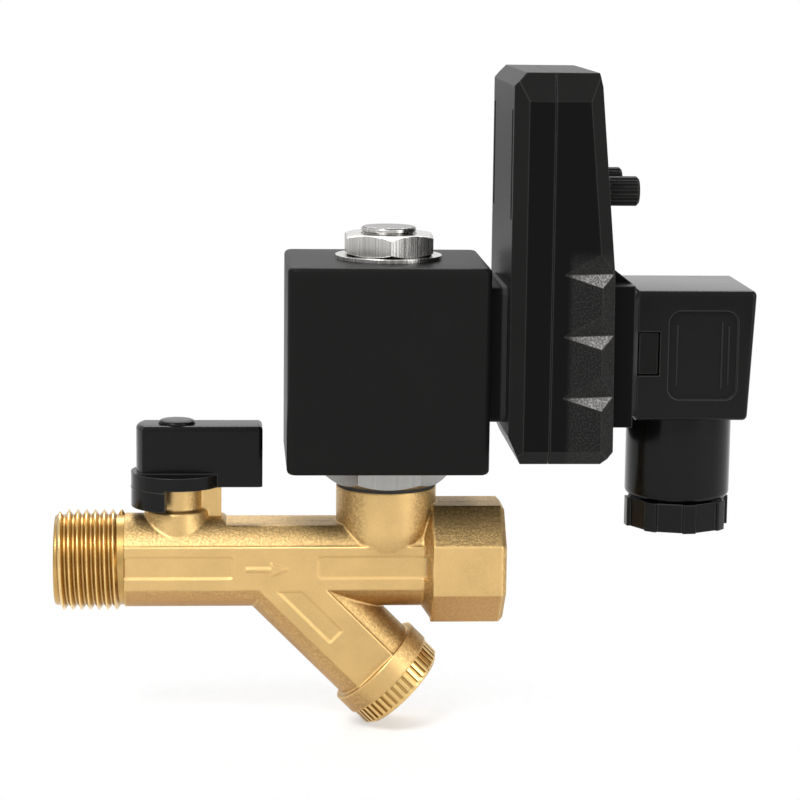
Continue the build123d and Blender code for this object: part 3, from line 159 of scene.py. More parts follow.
class StageSettings(bpy.types.PropertyGroup):
    """Camera place, turn and lens."""

    camera_place: bpy.props.FloatVectorProperty(
        name="Camera place", description="Where the camera stands",
        subtype="TRANSLATION", size=3, default=(0.03617, -0.53686, 0.12306))
    camera_yaw: bpy.props.FloatProperty(
        name="Camera yaw", description="Turn of the camera towards the outlet",
        default=math.radians(3.757), subtype="ANGLE")
    camera_pitch: bpy.props.FloatProperty(
        name="Camera pitch", description="How far the camera looks down",
        default=math.radians(9.425), subtype="ANGLE")
    camera_roll: bpy.props.FloatProperty(
        name="Camera roll", description="Turn of the camera about its view",
        default=math.radians(0.677), subtype="ANGLE")
    lens: bpy.props.FloatProperty(
        name="Lens", description="Focal length in millimetres on a 36 mm sensor",
        default=118.1)


# ---- shader expressions ----


class Value:
    """A shader socket that Python arithmetic adds Math nodes to."""

    def __init__(self, finish, socket):
        self.finish = finish
        self.socket = socket

    def math(self, operation, *others):
        """A Math node of this value and the others."""
        inputs = {i: v for i, v in enumerate((self,) + others)}
        return self.finish.node("ShaderNodeMath", {"operation": operation}, inputs)

    def __add__(self, other):
        return self.math("ADD", other)

    __radd__ = __add__

    def __sub__(self, other):
        return self.math("SUBTRACT", other)

    def __rsub__(self, other):
        return self.finish.node("ShaderNodeMath", {"operation": "SUBTRACT"}, {0: other, 1: self})

    def __mul__(self, other):
        return self.math("MULTIPLY", other)

    def __abs__(self):
        return self.math("ABSOLUTE")

    def above(self, low, high):
        """0 below low, 1 above high, smooth between."""
        return self.finish.node(
            "ShaderNodeMapRange",
            {"interpolation_type": "SMOOTHSTEP"},
            {"Value": self, "From Min": low, "From Max": high},
        )


class Finish:
    """A node material built by expressions."""

    def __init__(self, name):
        self.material = bpy.data.materials.new(name)
        self.material.use_nodes = True
        self.tree = self.material.node_tree
        self.shader = next(n for n in self.tree.nodes if n.type == "BSDF_PRINCIPLED")

    def put(self, socket, value):
        """Link a value to a socket, or set the socket to a number or a colour."""
        if isinstance(value, Value):
            self.tree.links.new(value.socket, socket)
        elif hasattr(value, "__len__") and len(value) == 3 and socket.type == "RGBA":
            socket.default_value = (*value, 1.0)
        else:
            socket.default_value = value

    def node(self, kind, settings=None, inputs=None, output=0):
        """One node: its settings first, then the values or links of its sockets."""
        node = self.tree.nodes.new(kind)
        for name, value in (settings or {}).items():
            setattr(node, name, value)
        for name, value in (inputs or {}).items():
            self.put(node.inputs[name], value)
        return Value(self, node.outputs[output])

    def set(self, **sockets):
        """Values or links of the shader's own sockets, with _ for a space."""
        for name, value in sockets.items():
            self.put(self.shader.inputs[name.replace("_", " ")], value)

    def place(self):
        """Place on the object, in metres."""
        return self.node("ShaderNodeTexCoord", output="Object")

    def camera_ray(self):
        """1 for what the camera sees directly, 0 in light and reflections."""
        return self.node("ShaderNodeLightPath", output="Is Camera Ray")

    def part(self, vector, letter):
        """One component of a vector."""
        return self.node("ShaderNodeSeparateXYZ", {}, {0: vector}, output=letter)

    def normal(self):
        """Direction that the surface faces."""
        return self.node("ShaderNodeNewGeometry", output="Normal")

    def noise(self, scale, detail=3.0, rough=0.5, vector=None):
        """Cloudy grain with a number of features per metre."""
        return self.node(
            "ShaderNodeTexNoise", {},
            {
                "Vector": vector or self.place(),
                "Scale": scale,
                "Detail": detail,
                "Roughness": rough,
            },
        )

    def stretched(self, scale):
        """Object coordinates with each axis multiplied."""
        return self.node("ShaderNodeMapping", {}, {"Vector": self.place(), "Scale": scale})

    def mix(self, factor, low, high):
        """Colour low where factor is 0, high where it is 1."""
        node = self.tree.nodes.new("ShaderNodeMix")
        node.data_type = "RGBA"
        self.put(node.inputs[0], factor)
        self.put(node.inputs[6], low)
        self.put(node.inputs[7], high)
        return Value(self, node.outputs[2])

    def soften(self, radius):
        """Normal that rounds the edges off by a radius."""
        return self.node("ShaderNodeBevel", {"samples": 6}, {"Radius": radius})

    def highlit(self, soft):
        """Mask for a painted highlight: 1 along the edges that a softened normal rounds, 0 on the faces."""
        along = self.node(
            "ShaderNodeVectorMath", {"operation": "DOT_PRODUCT"},
            {0: soft, 1: self.normal()}, output="Value")
        return (1 - along).above(0.003, 0.08)

    def bump(self, height, distance, soft=None):
        """Normal from a height times a distance, over softened edges."""
        inputs = {"Height": height, "Distance": distance, "Strength": 1.0}
        if soft:
            inputs["Normal"] = soft
        self.set(Normal=self.node("ShaderNodeBump", {}, inputs))


def tone(colour, factor):
    """A colour made lighter or darker."""
    return tuple(min(1.0, c * factor) for c in colour)


def tinted(colour, factors):
    """A colour with each channel multiplied."""
    return tuple(c * k for c, k in zip(colour, factors))


# ---- finishes ----

finishes = {}


def cast_brass(settings):
    """Blasted casting skin: coarse grain off the flat pads, fine on them, and a parting seam, with painted shade
    on the undersides and painted highlights along the edges.
    """
    f = Finish("cast_brass")
    soft = f.soften(settings.edge_radius * 2.2)
    grain = f.noise(3600, 2.0, 0.6)
    coarse = f.noise(1900, 3.0, 0.6)
    patches = f.noise(110, 4.0, 0.6)
    off_pads = 1 - abs(f.part(f.normal(), "Y")).above(0.80, 0.97)
    seam = 1 - abs(f.part(f.place(), "Y")).above(0.15 * MM, 0.45 * MM)
    base = settings.cast_brass
    colour = f.mix(patches.above(0.30, 0.70), tone(base, 0.90), tone(base, 1.03))
    speckled = f.mix(grain.above(0.35, 0.65) * 0.35, colour, tone(base, 1.20))
    pitted = f.mix(coarse.above(0.40, 0.64), tone(base, 0.55), tone(base, 0.98))
    skin = f.mix(off_pads * 0.75, speckled, pitted)
    # painted shade: faces that look down are painted darker and warmer
    painted_underside_shade = (0 - f.part(f.normal(), "Z")).above(0.25, 0.85)
    skin = f.mix(painted_underside_shade * 0.75, skin, tinted(base, (0.68, 0.52, 0.38)))
    f.set(
        # painted highlight: the rounded edges are painted lighter
        Base_Color=f.mix(f.highlit(soft) * 0.8, skin, tone(base, 1.30)),
        Metallic=1.0,
        Roughness=0.33 + grain * 0.12 + off_pads * 0.06,
    )
    f.bump(grain * 0.6 + coarse * off_pads * 1.5 + seam * 2.5, 0.05 * MM, soft)
    return f.material


def turned_brass(settings):
    """Machined brass with painted shade, darker and rougher, in the bottoms of the inlet's thread and the cap's
    serrations.
    """
    f = Finish("turned_brass")
    marks = f.noise(900, 3.0, 0.6)
    x = f.part(f.place(), "X")
    y = f.part(f.place(), "Y")
    z = f.part(f.place(), "Z")
    radius = (y * y + z * z).math("SQRT")
    thread_flank, stub_end = (9.75 * MM, 10.40 * MM), (14.5 * MM, 14.9 * MM)
    # groove: where painted shade darkens the thread's roots, which are also made rougher
    groove = (1 - radius.above(*thread_flank)) * (1 - x.above(*stub_end))
    # painted shade in the bottoms of the strainer cap's serrations too, along the sloping branch
    branch_x = 44.6 * MM
    slope = 0.70711
    knurl_start, knurl_end = (35.26 * MM, 35.32 * MM), (38.7 * MM, 38.9 * MM)
    rim_edge, serration_flank = (9.80 * MM, 9.95 * MM), (10.20 * MM, 10.42 * MM)
    along = (x - z - branch_x) * slope
    across = (x + z - branch_x) * slope
    cap_radius = (y * y + across * across).math("SQRT")
    knurled = along.above(*knurl_start) * (1 - along.above(*knurl_end))
    rim = cap_radius.above(*rim_edge)
    serration_shade = (1 - cap_radius.above(*serration_flank)) * rim * knurled
    groove = groove * 0.75 + serration_shade * 0.8
    base = settings.turned_brass
    bright = f.mix(marks, tone(base, 0.93), base)
    f.set(
        # painted shade: darker colour in the thread's roots and the serrations' bottoms
        Base_Color=f.mix(groove, bright, tinted(base, (0.50, 0.42, 0.30))),
        Metallic=1.0,
        Roughness=0.17 + marks * 0.08 + groove * 0.15,
    )
    f.bump(marks, 0.006 * MM, f.soften(settings.edge_radius * 0.4))
    return f.material


def black_plastic(
        name, settings, roughness, grain_scale, grain_height, edge=1.0, depth=1.0, polish=0.045):
    """Black moulding with a faint cloud, fine grain and painted highlights along the edges."""
    f = Finish(name)
    soft = f.soften(settings.edge_radius * edge)
    grain = f.noise(grain_scale, 2.0, 0.5)
    cloud = f.noise(45, 2.0, 0.5)
    base = tone(settings.black, depth)
    face = f.mix(cloud, tone(base, 0.85), tone(base, 1.15))
    f.set(
        # painted highlight along the rounded edges
        Base_Color=f.mix(f.highlit(soft), face, tone(settings.black, settings.edge_light)),
        Roughness=roughness + cloud * 0.05,
        Specular_IOR_Level=polish,
    )
    f.bump(grain, grain_height * MM, soft)
    return f.material


def timer_plastic(settings):
    """Fine spark-eroded grain, coarser and paler on the finger grips, with painted shade darkening the flanks, a
    painted highlight on the grips' upward ledges and painted highlights along the edges.
    """
    f = Finish("black_matte")
    soft = f.soften(settings.edge_radius * 1.1)
    grain = f.noise(2800, 2.0, 0.55)
    cloud = f.noise(40, 2.0, 0.5)
    z = f.part(f.place(), "Z")
    x = f.part(f.place(), "X")
    out = abs(f.part(f.place(), "Y"))
    grip_start, grip_top = (103.0 * MM, 104.5 * MM), (64 * MM, 68 * MM)
    grip_side, highlight_fade_x = (19.0 * MM, 20.0 * MM), (102.5 * MM, 109.0 * MM)
    low_front = x.above(*grip_start) * (1 - z.above(*grip_top))
    grips = low_front * out.above(*grip_side)
    # painted highlight on the grips' upward-facing ledges, strongest towards the front
    highlight_fading = 0.45 + x.above(*highlight_fade_x) * 0.55
    ledge_highlight = f.part(f.normal(), "Z").above(0.05, 0.35) * highlight_fading
    speckle = grain.above(0.45, 0.65)
    # painted shade: the flat flanks facing sideways are painted darker than the other faces
    shaded_flank = abs(f.part(f.normal(), "Y")).above(0.975, 0.995)
    cheek = f.mix(cloud, tone(settings.black, 0.85), tone(settings.black, 1.4))
    face = f.mix(shaded_flank, cheek, tone(settings.black, 0.45))
    # paler grain on the grips plus the painted ledge highlight
    grain_and_ledge_highlight = 0.02 + speckle * 0.05 + ledge_highlight * (0.35 + speckle * 0.6)
    grain_and_highlight = f.mix(grips * grain_and_ledge_highlight, face, tone(settings.black, 34.0))
    f.set(
        # painted highlight along the rounded edges
        Base_Color=f.mix(f.highlit(soft), grain_and_highlight, tone(settings.black, settings.edge_light)),
        Roughness=0.33 + cloud * 0.05 + grips * 0.14,
        Specular_IOR_Level=0.045,
    )
    f.bump(grain * (0.5 + grips * 1.6), 0.035 * MM, soft)
    return f.material


def steel(name, settings, roughness, lines, shade, valley=0.70):
    """Steel with drawn lines, painted dark reflections on the turned chamfers and on the stud's flat end, and
    painted highlights along the edges.
    """
    f = Finish(name)
    soft = f.soften(settings.edge_radius * 0.6)
    up = f.part(f.normal(), "Z")
    stud_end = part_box("fixed_core")[1][2]
    # painted dark reflection on the up-sloping chamfers
    chamfer = up.above(0.20, 0.35) * (1 - up.above(0.80, 0.95))
    z = f.part(f.place(), "Z")
    # painted dark reflection on the stud's flat end
    at_end = z.above(stud_end - 0.20 * MM, stud_end - 0.10 * MM)
    shaded_stud_end = up.above(0.90, 0.97) * at_end
    streaks = f.noise(1.0, 3.0, 0.6, f.stretched(lines)).above(0.30, 0.70)
    colour = tone(settings.steel, shade)
    drawn = f.mix(streaks, tone(colour, valley), tone(colour, 1.10))
    reflection_shaded = f.mix(chamfer * 0.85 + shaded_stud_end * 0.80, drawn, tone(colour, 0.12))
    f.set(
        # painted highlight along the rounded edges
        Base_Color=f.mix(f.highlit(soft), reflection_shaded, tone(colour, 1.45)),
        Metallic=1.0,
        Roughness=roughness + streaks * 0.08,
    )
    f.bump(streaks, 0.008 * MM, soft)
    return f.material


def plain(name, colour, roughness, metallic=0.0, grain=900):
    """A finish of one colour with a faint speckle."""
    f = Finish(name)
    speckle = f.noise(grain, 2.0, 0.5)
    f.set(
        Base_Color=f.mix(speckle, tone(colour, 0.9), tone(colour, 1.1)),
        Metallic=metallic,
        Roughness=roughness + speckle * 0.06,
    )
    f.bump(speckle, 0.01 * MM)
    return f.material


class DRAINVALVE_OT_finishes(bpy.types.Operator):
    """Make every finish and give the CAD nodes theirs."""

    bl_idname = "drainvalve.finishes"
    bl_label = "Finishes"

    def execute(self, context):
        s = context.scene.drain_finishes
        finishes.update(
            cast_brass=cast_brass(s),
            turned_brass=turned_brass(s),
            black_satin=black_plastic("black_satin", s, 0.38, 2200, 0.02, edge=1.6),
            black_gloss=black_plastic(
                "black_gloss", s, 0.17, 1500, 0.010, depth=0.60, polish=0.11),
            black_matte=timer_plastic(s),
            bright_steel=steel("bright_steel", s, 0.20, (2600, 2600, 60), 0.90),
            satin_steel=steel("satin_steel", s, 0.30, (1800, 1800, 50), 0.47, valley=0.90),
            chrome_ball=plain("chrome_ball", (0.72, 0.72, 0.74), 0.06, 1.0, 60),
            black_rubber=plain("black_rubber", (0.012, 0.012, 0.012), 0.7),
            white_seal=plain("white_seal", (0.78, 0.78, 0.75), 0.5),
            copper=plain("copper", (0.55, 0.19, 0.07), 0.3, 1.0, 300),
            green_board=plain("green_board", (0.012, 0.12, 0.045), 0.4, 0.0, 200),
            lamp_clear=plain("lamp_clear", (0.65, 0.66, 0.62), 0.15, 0.0, 100),
        )
        for node, piece in frame["nodes"].items():
            for slot in piece.material_slots:
                slot.material = finishes[SLOTS[node]]
        return {"FINISHED"}


# ---- mesh helpers ----


def piece_from(bm, name, body, slot):
    """A finished bmesh as a piece that rides on a body."""
    mesh = bpy.data.meshes.new(name)
    bm.to_mesh(mesh)
    bm.free()
    piece = bpy.data.objects.new(name, mesh)
    bpy.context.scene.collection.objects.link(piece)
    mesh.materials.append(finishes[slot])
    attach(piece, body)
    return piece


def smooth_by_angle(bm, degrees=28.0):
    """Smooth shading with sharp edges past an angle."""
    limit = math.radians(degrees)
    for face in bm.faces:
        face.smooth = True
    for edge in bm.edges:
        edge.smooth = edge.is_manifold and edge.calc_face_angle(math.pi) < limit


def merged_copy(node):
    """A CAD node's mesh as one joined shell."""
    bm = bmesh.new()
    bm.from_mesh(frame["nodes"][node].data)
    bmesh.ops.remove_doubles(bm, verts=bm.verts, dist=0.002 * MM)
    return bm


def dress(node, degrees=28.0):
    """Replace a CAD node by its own joined shell with smooth curved faces."""
    bodies = frame["record"]["behaviour"]["bodies"]
    body = next(name for name, nodes in bodies.items() if node in nodes)
    bm = merged_copy(node)
    smooth_by_angle(bm, degrees)
    piece = piece_from(bm, node + "_dressed", body, SLOTS[node])
    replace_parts(piece, node)
    return piece


def lathe(bm, profile, axis, centre, steps=96):
    """Spin a closed outline of points round an axis."""
    verts = [bm.verts.new(p) for p in profile]
    edges = [bm.edges.new((a, b)) for a, b in zip(verts, verts[1:] + verts[:1])]
    bmesh.ops.spin(
        bm, geom=verts + edges, cent=centre, axis=axis, angle=math.tau, steps=steps,
        use_merge=True, use_duplicate=False)
    bmesh.ops.remove_doubles(bm, verts=bm.verts, dist=0.0005 * MM)
    bmesh.ops.recalc_face_normals(bm, faces=bm.faces)


def bead(bm, centre, radius, half, start, sweep, steps=64):
    """A thin square bead round a vertical axis, closed at both ends."""
    outline = [
        (radius - half, -half), (radius, -half), (radius + half * 0.6, 0),
        (radius, half), (radius - half, half)]
    turn = Matrix.Rotation(start, 3, "Z")
    verts = [bm.verts.new(Vector(centre) + turn @ Vector((r, 0, h))) for r, h in outline]
    first = bm.faces.new(verts)
    bmesh.ops.spin(
        bm, geom=[first], cent=centre, axis=(0, 0, 1), angle=sweep, steps=steps,
        use_duplicate=False)
    bmesh.ops.recalc_face_normals(bm, faces=bm.faces)


def block(bm, size, place, turn=None):
    """A small box with a size and a place, after an optional turn about its own middle."""
    cube = bmesh.ops.create_cube(bm, size=1.0)["verts"]
    bmesh.ops.scale(bm, vec=size, verts=cube)
    if turn:
        bmesh.ops.rotate(bm, verts=cube, cent=(0, 0, 0), matrix=turn)
    bmesh.ops.translate(bm, vec=place, verts=cube)
    return cube


def helix_ridge(bm, root, crest, pitch, start, turns, inward=False, steps=64):
    """A screw ridge round the X axis from start, a closed sweep with tapered ends."""
    sink = 0.12 * MM
    foot = root + sink if inward else root - sink
    half = 0.46 * pitch
    flat = 0.07 * pitch
    outline = [
        (start - half, foot), (start - flat, crest), (start + flat, crest), (start + half, foot)]
    verts = [bm.verts.new((x, 0.0, r)) for x, r in outline]
    first = bm.faces.new(verts)
    result = bmesh.ops.spin(
        bm, geom=[first], cent=(0, 0, 0), axis=(1, 0, 0), angle=math.tau * turns,
        dvec=(pitch / steps, 0, 0), steps=int(steps * turns), use_duplicate=False)
    last = [g for g in result["geom_last"] if isinstance(g, bmesh.types.BMFace)]
    for end in [first] + last:
        if end.is_valid:
            for vert in end.verts:
                vert.co.y *= foot / crest
                vert.co.z *= foot / crest
    bmesh.ops.recalc_face_normals(bm, faces=bm.faces)


def middle(box, axis):
    """Middle of a box along an axis."""
    return (box[0][axis] + box[1][axis]) / 2


# ---- brass body ----


def brass_casting(s):
    """Casting cut where the threaded stub starts, with its outlet's wall at the thread's roots."""
    bm = merged_copy("valve_body")
    bmesh.ops.bisect_plane(
        bm, geom=bm.verts[:] + bm.edges[:] + bm.faces[:], dist=0.001 * MM,
        plane_co=(s.stub_length + 0.02 * MM, 0, 0), plane_no=(1, 0, 0), clear_inner=True)
    bmesh.ops.bridge_loops(bm, edges=[e for e in bm.edges if e.is_boundary])
    face_x = max(v.co.x for v in bm.verts)
    thread_bottom = face_x - s.outlet_depth - 0.1 * MM
    for vert in bm.verts:
        radius = math.hypot(vert.co.y, vert.co.z)
        if vert.co.x > thread_bottom and abs(radius - s.outlet_core) < 0.05 * MM:
            vert.co.y *= s.outlet_root / radius
            vert.co.z *= s.outlet_root / radius
    smooth_by_angle(bm)
    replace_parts(piece_from(bm, "brass_casting", "valve", "cast_brass"), "valve_body")
    return face_x


def inlet_stub(s):
    """Turned stub under the inlet's thread, with a small chamfer at its open end."""
    chamfer, chamfer_depth, end_lap = 0.35 * MM, 0.25 * MM, 0.1 * MM
    bm = bmesh.new()
    lathe(bm, [
        (0.0, 0.0, s.bore_radius),
        (0.0, 0.0, s.root_radius - chamfer_depth),
        (chamfer, 0.0, s.root_radius),
        (s.stub_length, 0.0, s.root_radius),
        (s.stub_length + end_lap, 0.0, s.bore_radius),
    ], (1, 0, 0), (0, 0, 0))
    smooth_by_angle(bm)
    piece_from(bm, "inlet_stub", "valve", "turned_brass")


def pipe_thread(name, root, crest, pitch, start, turns, inward=False):
    """A pipe thread as its own piece of turned brass."""
    bm = bmesh.new()
    helix_ridge(bm, root, crest, pitch, start, turns, inward)
    smooth_by_angle(bm, 35)
    piece_from(bm, name, "valve", "turned_brass")


class DRAINVALVE_OT_body(bpy.types.Operator):
    """Brass casting with real screw threads on its inlet and in its outlet."""

    bl_idname = "drainvalve.body"
    bl_label = "Brass Body"

    def execute(self, context):
        s = context.scene.drain_threads
        face_x = brass_casting(s)
        inlet_stub(s)
        pipe_thread(
            "inlet_thread", s.root_radius, s.crest_radius, s.pitch, start=1.05 * MM, turns=7.0)
        pipe_thread(
            "outlet_thread", s.outlet_root, s.outlet_core, s.pitch,
            start=face_x - s.outlet_depth + 1.0 * MM, turns=5.4, inward=True)
        return {"FINISHED"}


# ---- fittings ----


def lever_button(top):
    """Low button in the lever's top."""
    share_left = 0.7
    bm = merged_copy("handle_cap")
    for vert in bm.verts:
        if vert.co.z > top:
            vert.co.z = top + (vert.co.z - top) * share_left
    smooth_by_angle(bm)
    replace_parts(piece_from(bm, "handle_cap_dressed", "lever", "black_gloss"), "handle_cap")


def lever_seam(top):
    """Fine seam bead where the lever's flange meets its skirt."""
    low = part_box("handle")[0]
    stem_x = middle(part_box("stem"), 0)
    seam_share, half_width = 0.232, 0.16 * MM
    height = low[2] + seam_share * (top - low[2])
    start, sweep = math.radians(14.3), math.radians(241.4)
    bm = bmesh.new()
    bead(bm, (stem_x, 0, height), stem_x - low[0], half_width, start, sweep)
    smooth_by_angle(bm, 40)
    piece_from(bm, "handle_seam", "lever", "black_gloss")


def pole_piece(s):
    """Pole piece with the threaded stud that holds the coil."""
    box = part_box("fixed_core")
    bottom, end = box[0][2], box[1][2]
    centre = middle(box, 0)
    core, shoulder, plain_end = 5.1 * MM, 60.0 * MM, 0.5 * MM
    crest_start, crest_end, groove, groove_depth = 0.05 * MM, 0.35 * MM, 0.70 * MM, 0.55 * MM
    profile = [(0, bottom), (core, bottom), (core, shoulder)]
    z = shoulder
    while z + s.stud_pitch < end - plain_end:
        profile += [
            (s.stud_radius, z + crest_start),
            (s.stud_radius, z + crest_end),
            (s.stud_radius - groove_depth, z + groove)]
        z += s.stud_pitch
    rim, flat = s.stud_radius - 0.1 * MM, s.stud_radius - 0.45 * MM
    profile += [(rim, z + crest_start), (rim, end - 0.3 * MM), (flat, end), (0, end)]
    bm = bmesh.new()
    lathe(bm, [(centre + r, 0, z) for r, z in profile], (0, 0, 1), (centre, 0, 0), 64)
    smooth_by_angle(bm)
    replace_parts(piece_from(bm, "fixed_core_dressed", "valve", "bright_steel"), "fixed_core")


def return_spring():
    """Return spring, dressed and given its own copy of the mesh; the squeeze it would take from the plunger's lift
    is worked out but not applied.
    """
    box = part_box("plunger_spring")
    bottom, length = box[0][2], box[1][2] - box[0][2]
    lift = next(j for j in frame["joints"] if j["name"] == "plunger_lift")["range_m"][1]
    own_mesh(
        dress("plunger_spring"), "plunger_lift", axis=(0, 0, 1),
        anchor=(middle(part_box("fixed_core"), 0), 0, bottom), keep=1 - lift / length)


class DRAINVALVE_OT_fittings(bpy.types.Operator):
    """Lever, strainer cap, tube, pole piece, spring, nut and washer."""

    bl_idname = "drainvalve.fittings"
    bl_label = "Fittings"

    def execute(self, context):
        for node in ("handle", "strainer_cap", "armature_tube", "tube_o_ring", "coil_nut",
                     "coil_washer", "ball_retainer", "cap_gasket", "stem"):
            dress(node)
        lever_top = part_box("handle")[1][2]
        lever_button(lever_top)
        lever_seam(lever_top)
        pole_piece(context.scene.drain_threads)
        return_spring()
        return {"FINISHED"}


# ---- coil, timer and plug ----


class DRAINVALVE_OT_coil(bpy.types.Operator):
    """Coil housing, its front left bare, and the seal towards the timer."""

    bl_idname = "drainvalve.coil"
    bl_label = "Coil"

    def execute(self, context):
        dress("coil_housing", degrees=20)
        dress("coil_gasket")
        return {"FINISHED"}


def dial_marks(s):
    """Printed scale round each knob, on the upper slope of the timer's front."""
    timer_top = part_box("timer_front_shell")[1][2]
    bend_x, bend_z, top_x = 112.9 * MM, 62.15 * MM, 109.35 * MM
    mark_width, mark_depth, long_mark, short_mark = 0.3 * MM, 0.08 * MM, 1.5 * MM, 1.0 * MM
    first_angle, sweep = -135, 270
    slope = (bend_x - top_x) / (timer_top - bend_z)
    lean = Matrix.Rotation(-math.atan(slope), 3, "Y")
    bm = bmesh.new()
    for node in ("knob_on", "knob_off"):
        y, z = middle(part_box(node), 1), middle(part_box(node), 2)
        for i in range(s.mark_count):
            angle = math.radians(first_angle + sweep * i / (s.mark_count - 1))
            mark_z = z + s.mark_radius * math.cos(angle)
            place = (
                top_x + slope * (timer_top - mark_z), y + s.mark_radius * math.sin(angle), mark_z)
            length = long_mark if i % 5 == 0 else short_mark
            turn = lean @ Matrix.Rotation(-angle, 3, "X")
            block(bm, (mark_depth, mark_width, length), place, turn)
    piece_from(bm, "dial_marks", "coil_head", "white_seal")


class DRAINVALVE_OT_timer(bpy.types.Operator):
    """Timer shells, knobs with their scales, test button and lamps."""

    bl_idname = "drainvalve.timer"
    bl_label = "Timer"

    def execute(self, context):
        for node in ("timer_rear_shell", "timer_front_shell"):
            dress(node, degrees=14)
        for node in ("knob_on", "knob_off", "test_button", "indicator_lamps"):
            dress(node, degrees=25)
        dial_marks(context.scene.drain_small)
        return {"FINISHED"}


def plug_ribs(s):
    """Upright ribs in the recess of both sides of the plug."""
    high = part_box("plug_housing")[1]
    recess_floor = high[1] - 0.8 * MM
    middle_z = high[2] - 13.3 * MM
    edge_round = 0.07 * MM
    bm = bmesh.new()
    for side in (-1, 1):
        for x, length in ((126.9, 12.5), (136.1, 13.5), (137.5, 12.0)):
            rib = block(
                bm, (s.rib_width, s.rib_height, length * MM),
                (x * MM, side * (recess_floor + s.rib_height * 0.3), middle_z))
            edges = {e for v in rib for e in v.link_edges}
            bmesh.ops.bevel(
                bm, geom=list(edges), offset=edge_round, segments=2, profile=0.5,
                affect="EDGES", material=-1)
    smooth_by_angle(bm)
    piece_from(bm, "plug_ribs", "coil_head", "black_gloss")


class DRAINVALVE_OT_plug(bpy.types.Operator):
    """Plug housing with its ribs, contact block, fixing screw and cable gland."""

    bl_idname = "drainvalve.plug"
    bl_label = "Plug"

    def execute(self, context):
        for node in ("plug_housing", "plug_contact_block", "plug_gasket", "plug_screw",
                     "gland_nut", "gland_seal", "gland_washer"):
            dress(node, degrees=25)
        plug_ribs(context.scene.drain_small)
        return {"FINISHED"}


# ---- stage ----


def white_for_camera(finish):
    """Factor that is 1 for rays that show the background."""
    path = finish.tree.nodes.new("ShaderNodeLightPath")
    camera = Value(finish, path.outputs["Is Camera Ray"])
    glossy = Value(finish, path.outputs["Is Glossy Ray"])
    through = Value(finish, path.outputs["Is Transmission Ray"])
    return camera.math("MAXIMUM", glossy).math("MAXIMUM", through)


class WorldFinish(Finish):
    """The expression maker for the world's node tree."""

    def __init__(self, world):
        world.use_nodes = True
        self.tree = world.node_tree


def soft_box(name, place, target, size, power):
    """An area light that looks at a point."""
    data = bpy.data.lights.new(name, "AREA")
    data.shape = "RECTANGLE"
    data.size, data.size_y = size
    data.energy = power
    lamp = bpy.data.objects.new(name, data)
    lamp.location = place
    lamp.rotation_euler = (Vector(target) - Vector(place)).to_track_quat("-Z", "Y").to_euler()
    bpy.context.scene.collection.objects.link(lamp)


def place_camera(scene, s):
    """Camera at its place, turned by its yaw, pitch and roll."""
    data = bpy.data.cameras.new("camera")
    data.lens = s.lens
    data.sensor_width = 36.0
    camera = bpy.data.objects.new("camera", data)
    ahead = Vector((
        math.sin(s.camera_yaw) * math.cos(s.camera_pitch),
        math.cos(s.camera_yaw) * math.cos(s.camera_pitch),
        -math.sin(s.camera_pitch)))
    right = Vector((math.cos(s.camera_yaw), -math.sin(s.camera_yaw), 0))
    up = right.cross(ahead)
    turned_right = right * math.cos(s.camera_roll) + up * math.sin(s.camera_roll)
    turned_up = up * math.cos(s.camera_roll) - right * math.sin(s.camera_roll)
    turn = Matrix((turned_right, turned_up, -ahead)).transposed().to_4x4()
    camera.matrix_world = Matrix.Translation(Vector(s.camera_place)) @ turn
    scene.collection.objects.link(camera)
    scene.camera = camera


def studio_world(scene):
    """World that is white behind everything and softer as a light."""
    world = bpy.data.worlds.new("studio")
    scene.world = world
    f = WorldFinish(world)
    background = next(n for n in f.tree.nodes if n.type == "BACKGROUND")
    background.inputs["Color"].default_value = (1, 1, 1, 1)
    f.put(background.inputs["Strength"], white_for_camera(f) * 0.65 + 0.35)


def floor_paint():
    """Pale floor, clear to the white world for the camera except where the object shades it."""
    paint = Finish("floor_white")
    paint.set(Base_Color=(0.88, 0.88, 0.88), Roughness=0.8)
    nodes, links = paint.tree.nodes, paint.tree.links
    clear = nodes.new("ShaderNodeBsdfTransparent")
    mixer = nodes.new("ShaderNodeMixShader")
    output = next(n for n in nodes if n.type == "OUTPUT_MATERIAL")
    open_sky = paint.node(
        "ShaderNodeAmbientOcclusion", {"samples": 12}, {"Distance": 0.05}, output="AO")
    paint.put(mixer.inputs[0], paint.camera_ray() * (0.45 + open_sky.above(0.55, 0.98) * 0.55))
    links.new(paint.shader.outputs[0], mixer.inputs[1])
    links.new(clear.outputs[0], mixer.inputs[2])
    links.new(mixer.outputs[0], output.inputs[0])
    return paint.material


def lay_floor(scene):
    """Floor just under the valve's lowest point."""
    gap = 0.6 * MM
    bm = bmesh.new()
    bmesh.ops.create_grid(bm, x_segments=1, y_segments=1, size=3.0)
    bmesh.ops.translate(bm, verts=bm.verts, vec=(0, 0, CAD_BOX[0][2] - gap))
    mesh = bpy.data.meshes.new("floor")
    bm.to_mesh(mesh)
    bm.free()
    floor = bpy.data.objects.new("floor", mesh)
    scene.collection.objects.link(floor)
    mesh.materials.append(floor_paint())


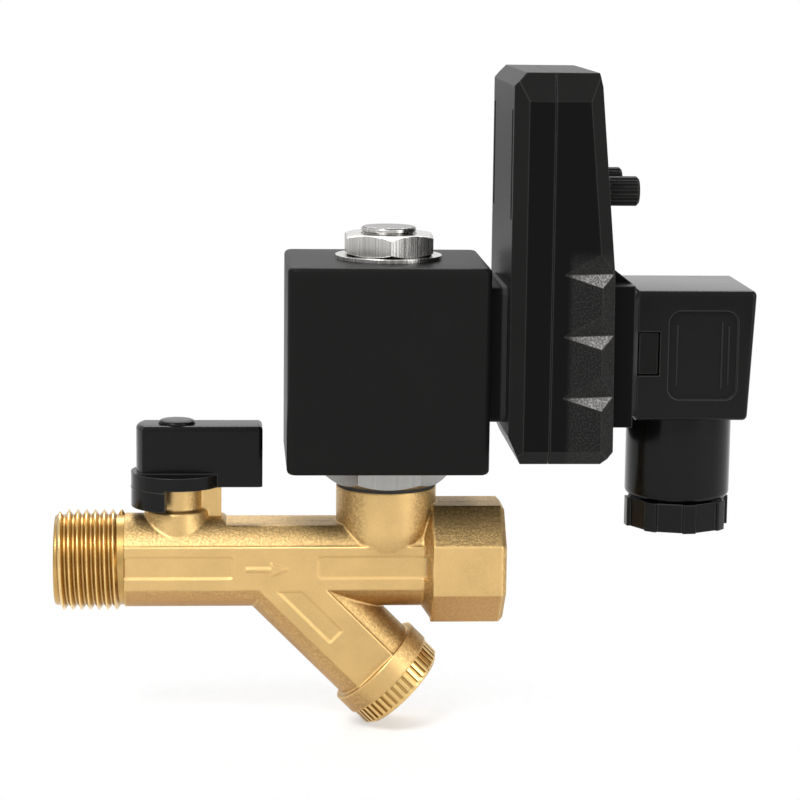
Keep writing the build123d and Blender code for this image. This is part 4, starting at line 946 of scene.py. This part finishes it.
class DRAINVALVE_OT_stage(bpy.types.Operator):
    """Camera, soft boxes, white surroundings and a pale floor."""

    bl_idname = "drainvalve.stage"
    bl_label = "Stage"

    def execute(self, context):
        scene = context.scene
        place_camera(scene, scene.drain_stage)
        studio_world(scene)
        centre = (0.07, 0.0, 0.035)
        soft_box("key", (-0.35, -0.55, 0.75), centre, (0.45, 0.45), 10.0)
        soft_box("fill", (0.65, -0.45, 0.30), centre, (0.4, 0.7), 3.0)
        soft_box("rim", (0.10, 0.60, 0.70), centre, (0.9, 0.3), 6.0)
        lay_floor(scene)
        scene.view_settings.view_transform = "Standard"
        return {"FINISHED"}


# ---- panel and registration ----

PIECE_OPERATORS = (
    DRAINVALVE_OT_finishes,
    DRAINVALVE_OT_body,
    DRAINVALVE_OT_fittings,
    DRAINVALVE_OT_coil,
    DRAINVALVE_OT_timer,
    DRAINVALVE_OT_plug,
    DRAINVALVE_OT_stage,
)


class DRAINVALVE_PT_panel(bpy.types.Panel):
    """Sidebar panel of the drain valve."""

    bl_label = "Drain Valve"
    bl_idname = "DRAINVALVE_PT_panel"
    bl_space_type = "VIEW_3D"
    bl_region_type = "UI"
    bl_category = "Drain Valve"

    def draw(self, context):
        for operator in PIECE_OPERATORS:
            self.layout.operator(operator.bl_idname)


SETTINGS = {
    "drain_threads": ThreadSettings,
    "drain_finishes": FinishSettings,
    "drain_small": DetailSettings,
    "drain_stage": StageSettings,
}
CLASSES = (*SETTINGS.values(), *PIECE_OPERATORS, DRAINVALVE_PT_panel)


def register():
    for cls in CLASSES:
        bpy.utils.register_class(cls)
    for name, group in SETTINGS.items():
        setattr(bpy.types.Scene, name, bpy.props.PointerProperty(type=group))


def unregister():
    for name in SETTINGS:
        delattr(bpy.types.Scene, name)
    for cls in reversed(CLASSES):
        bpy.utils.unregister_class(cls)


def main():
    register()
    for operator in PIECE_OPERATORS:
        group, name = operator.bl_idname.split(".")
        getattr(getattr(bpy.ops, group), name)()


if __name__ == "__main__":
    main()
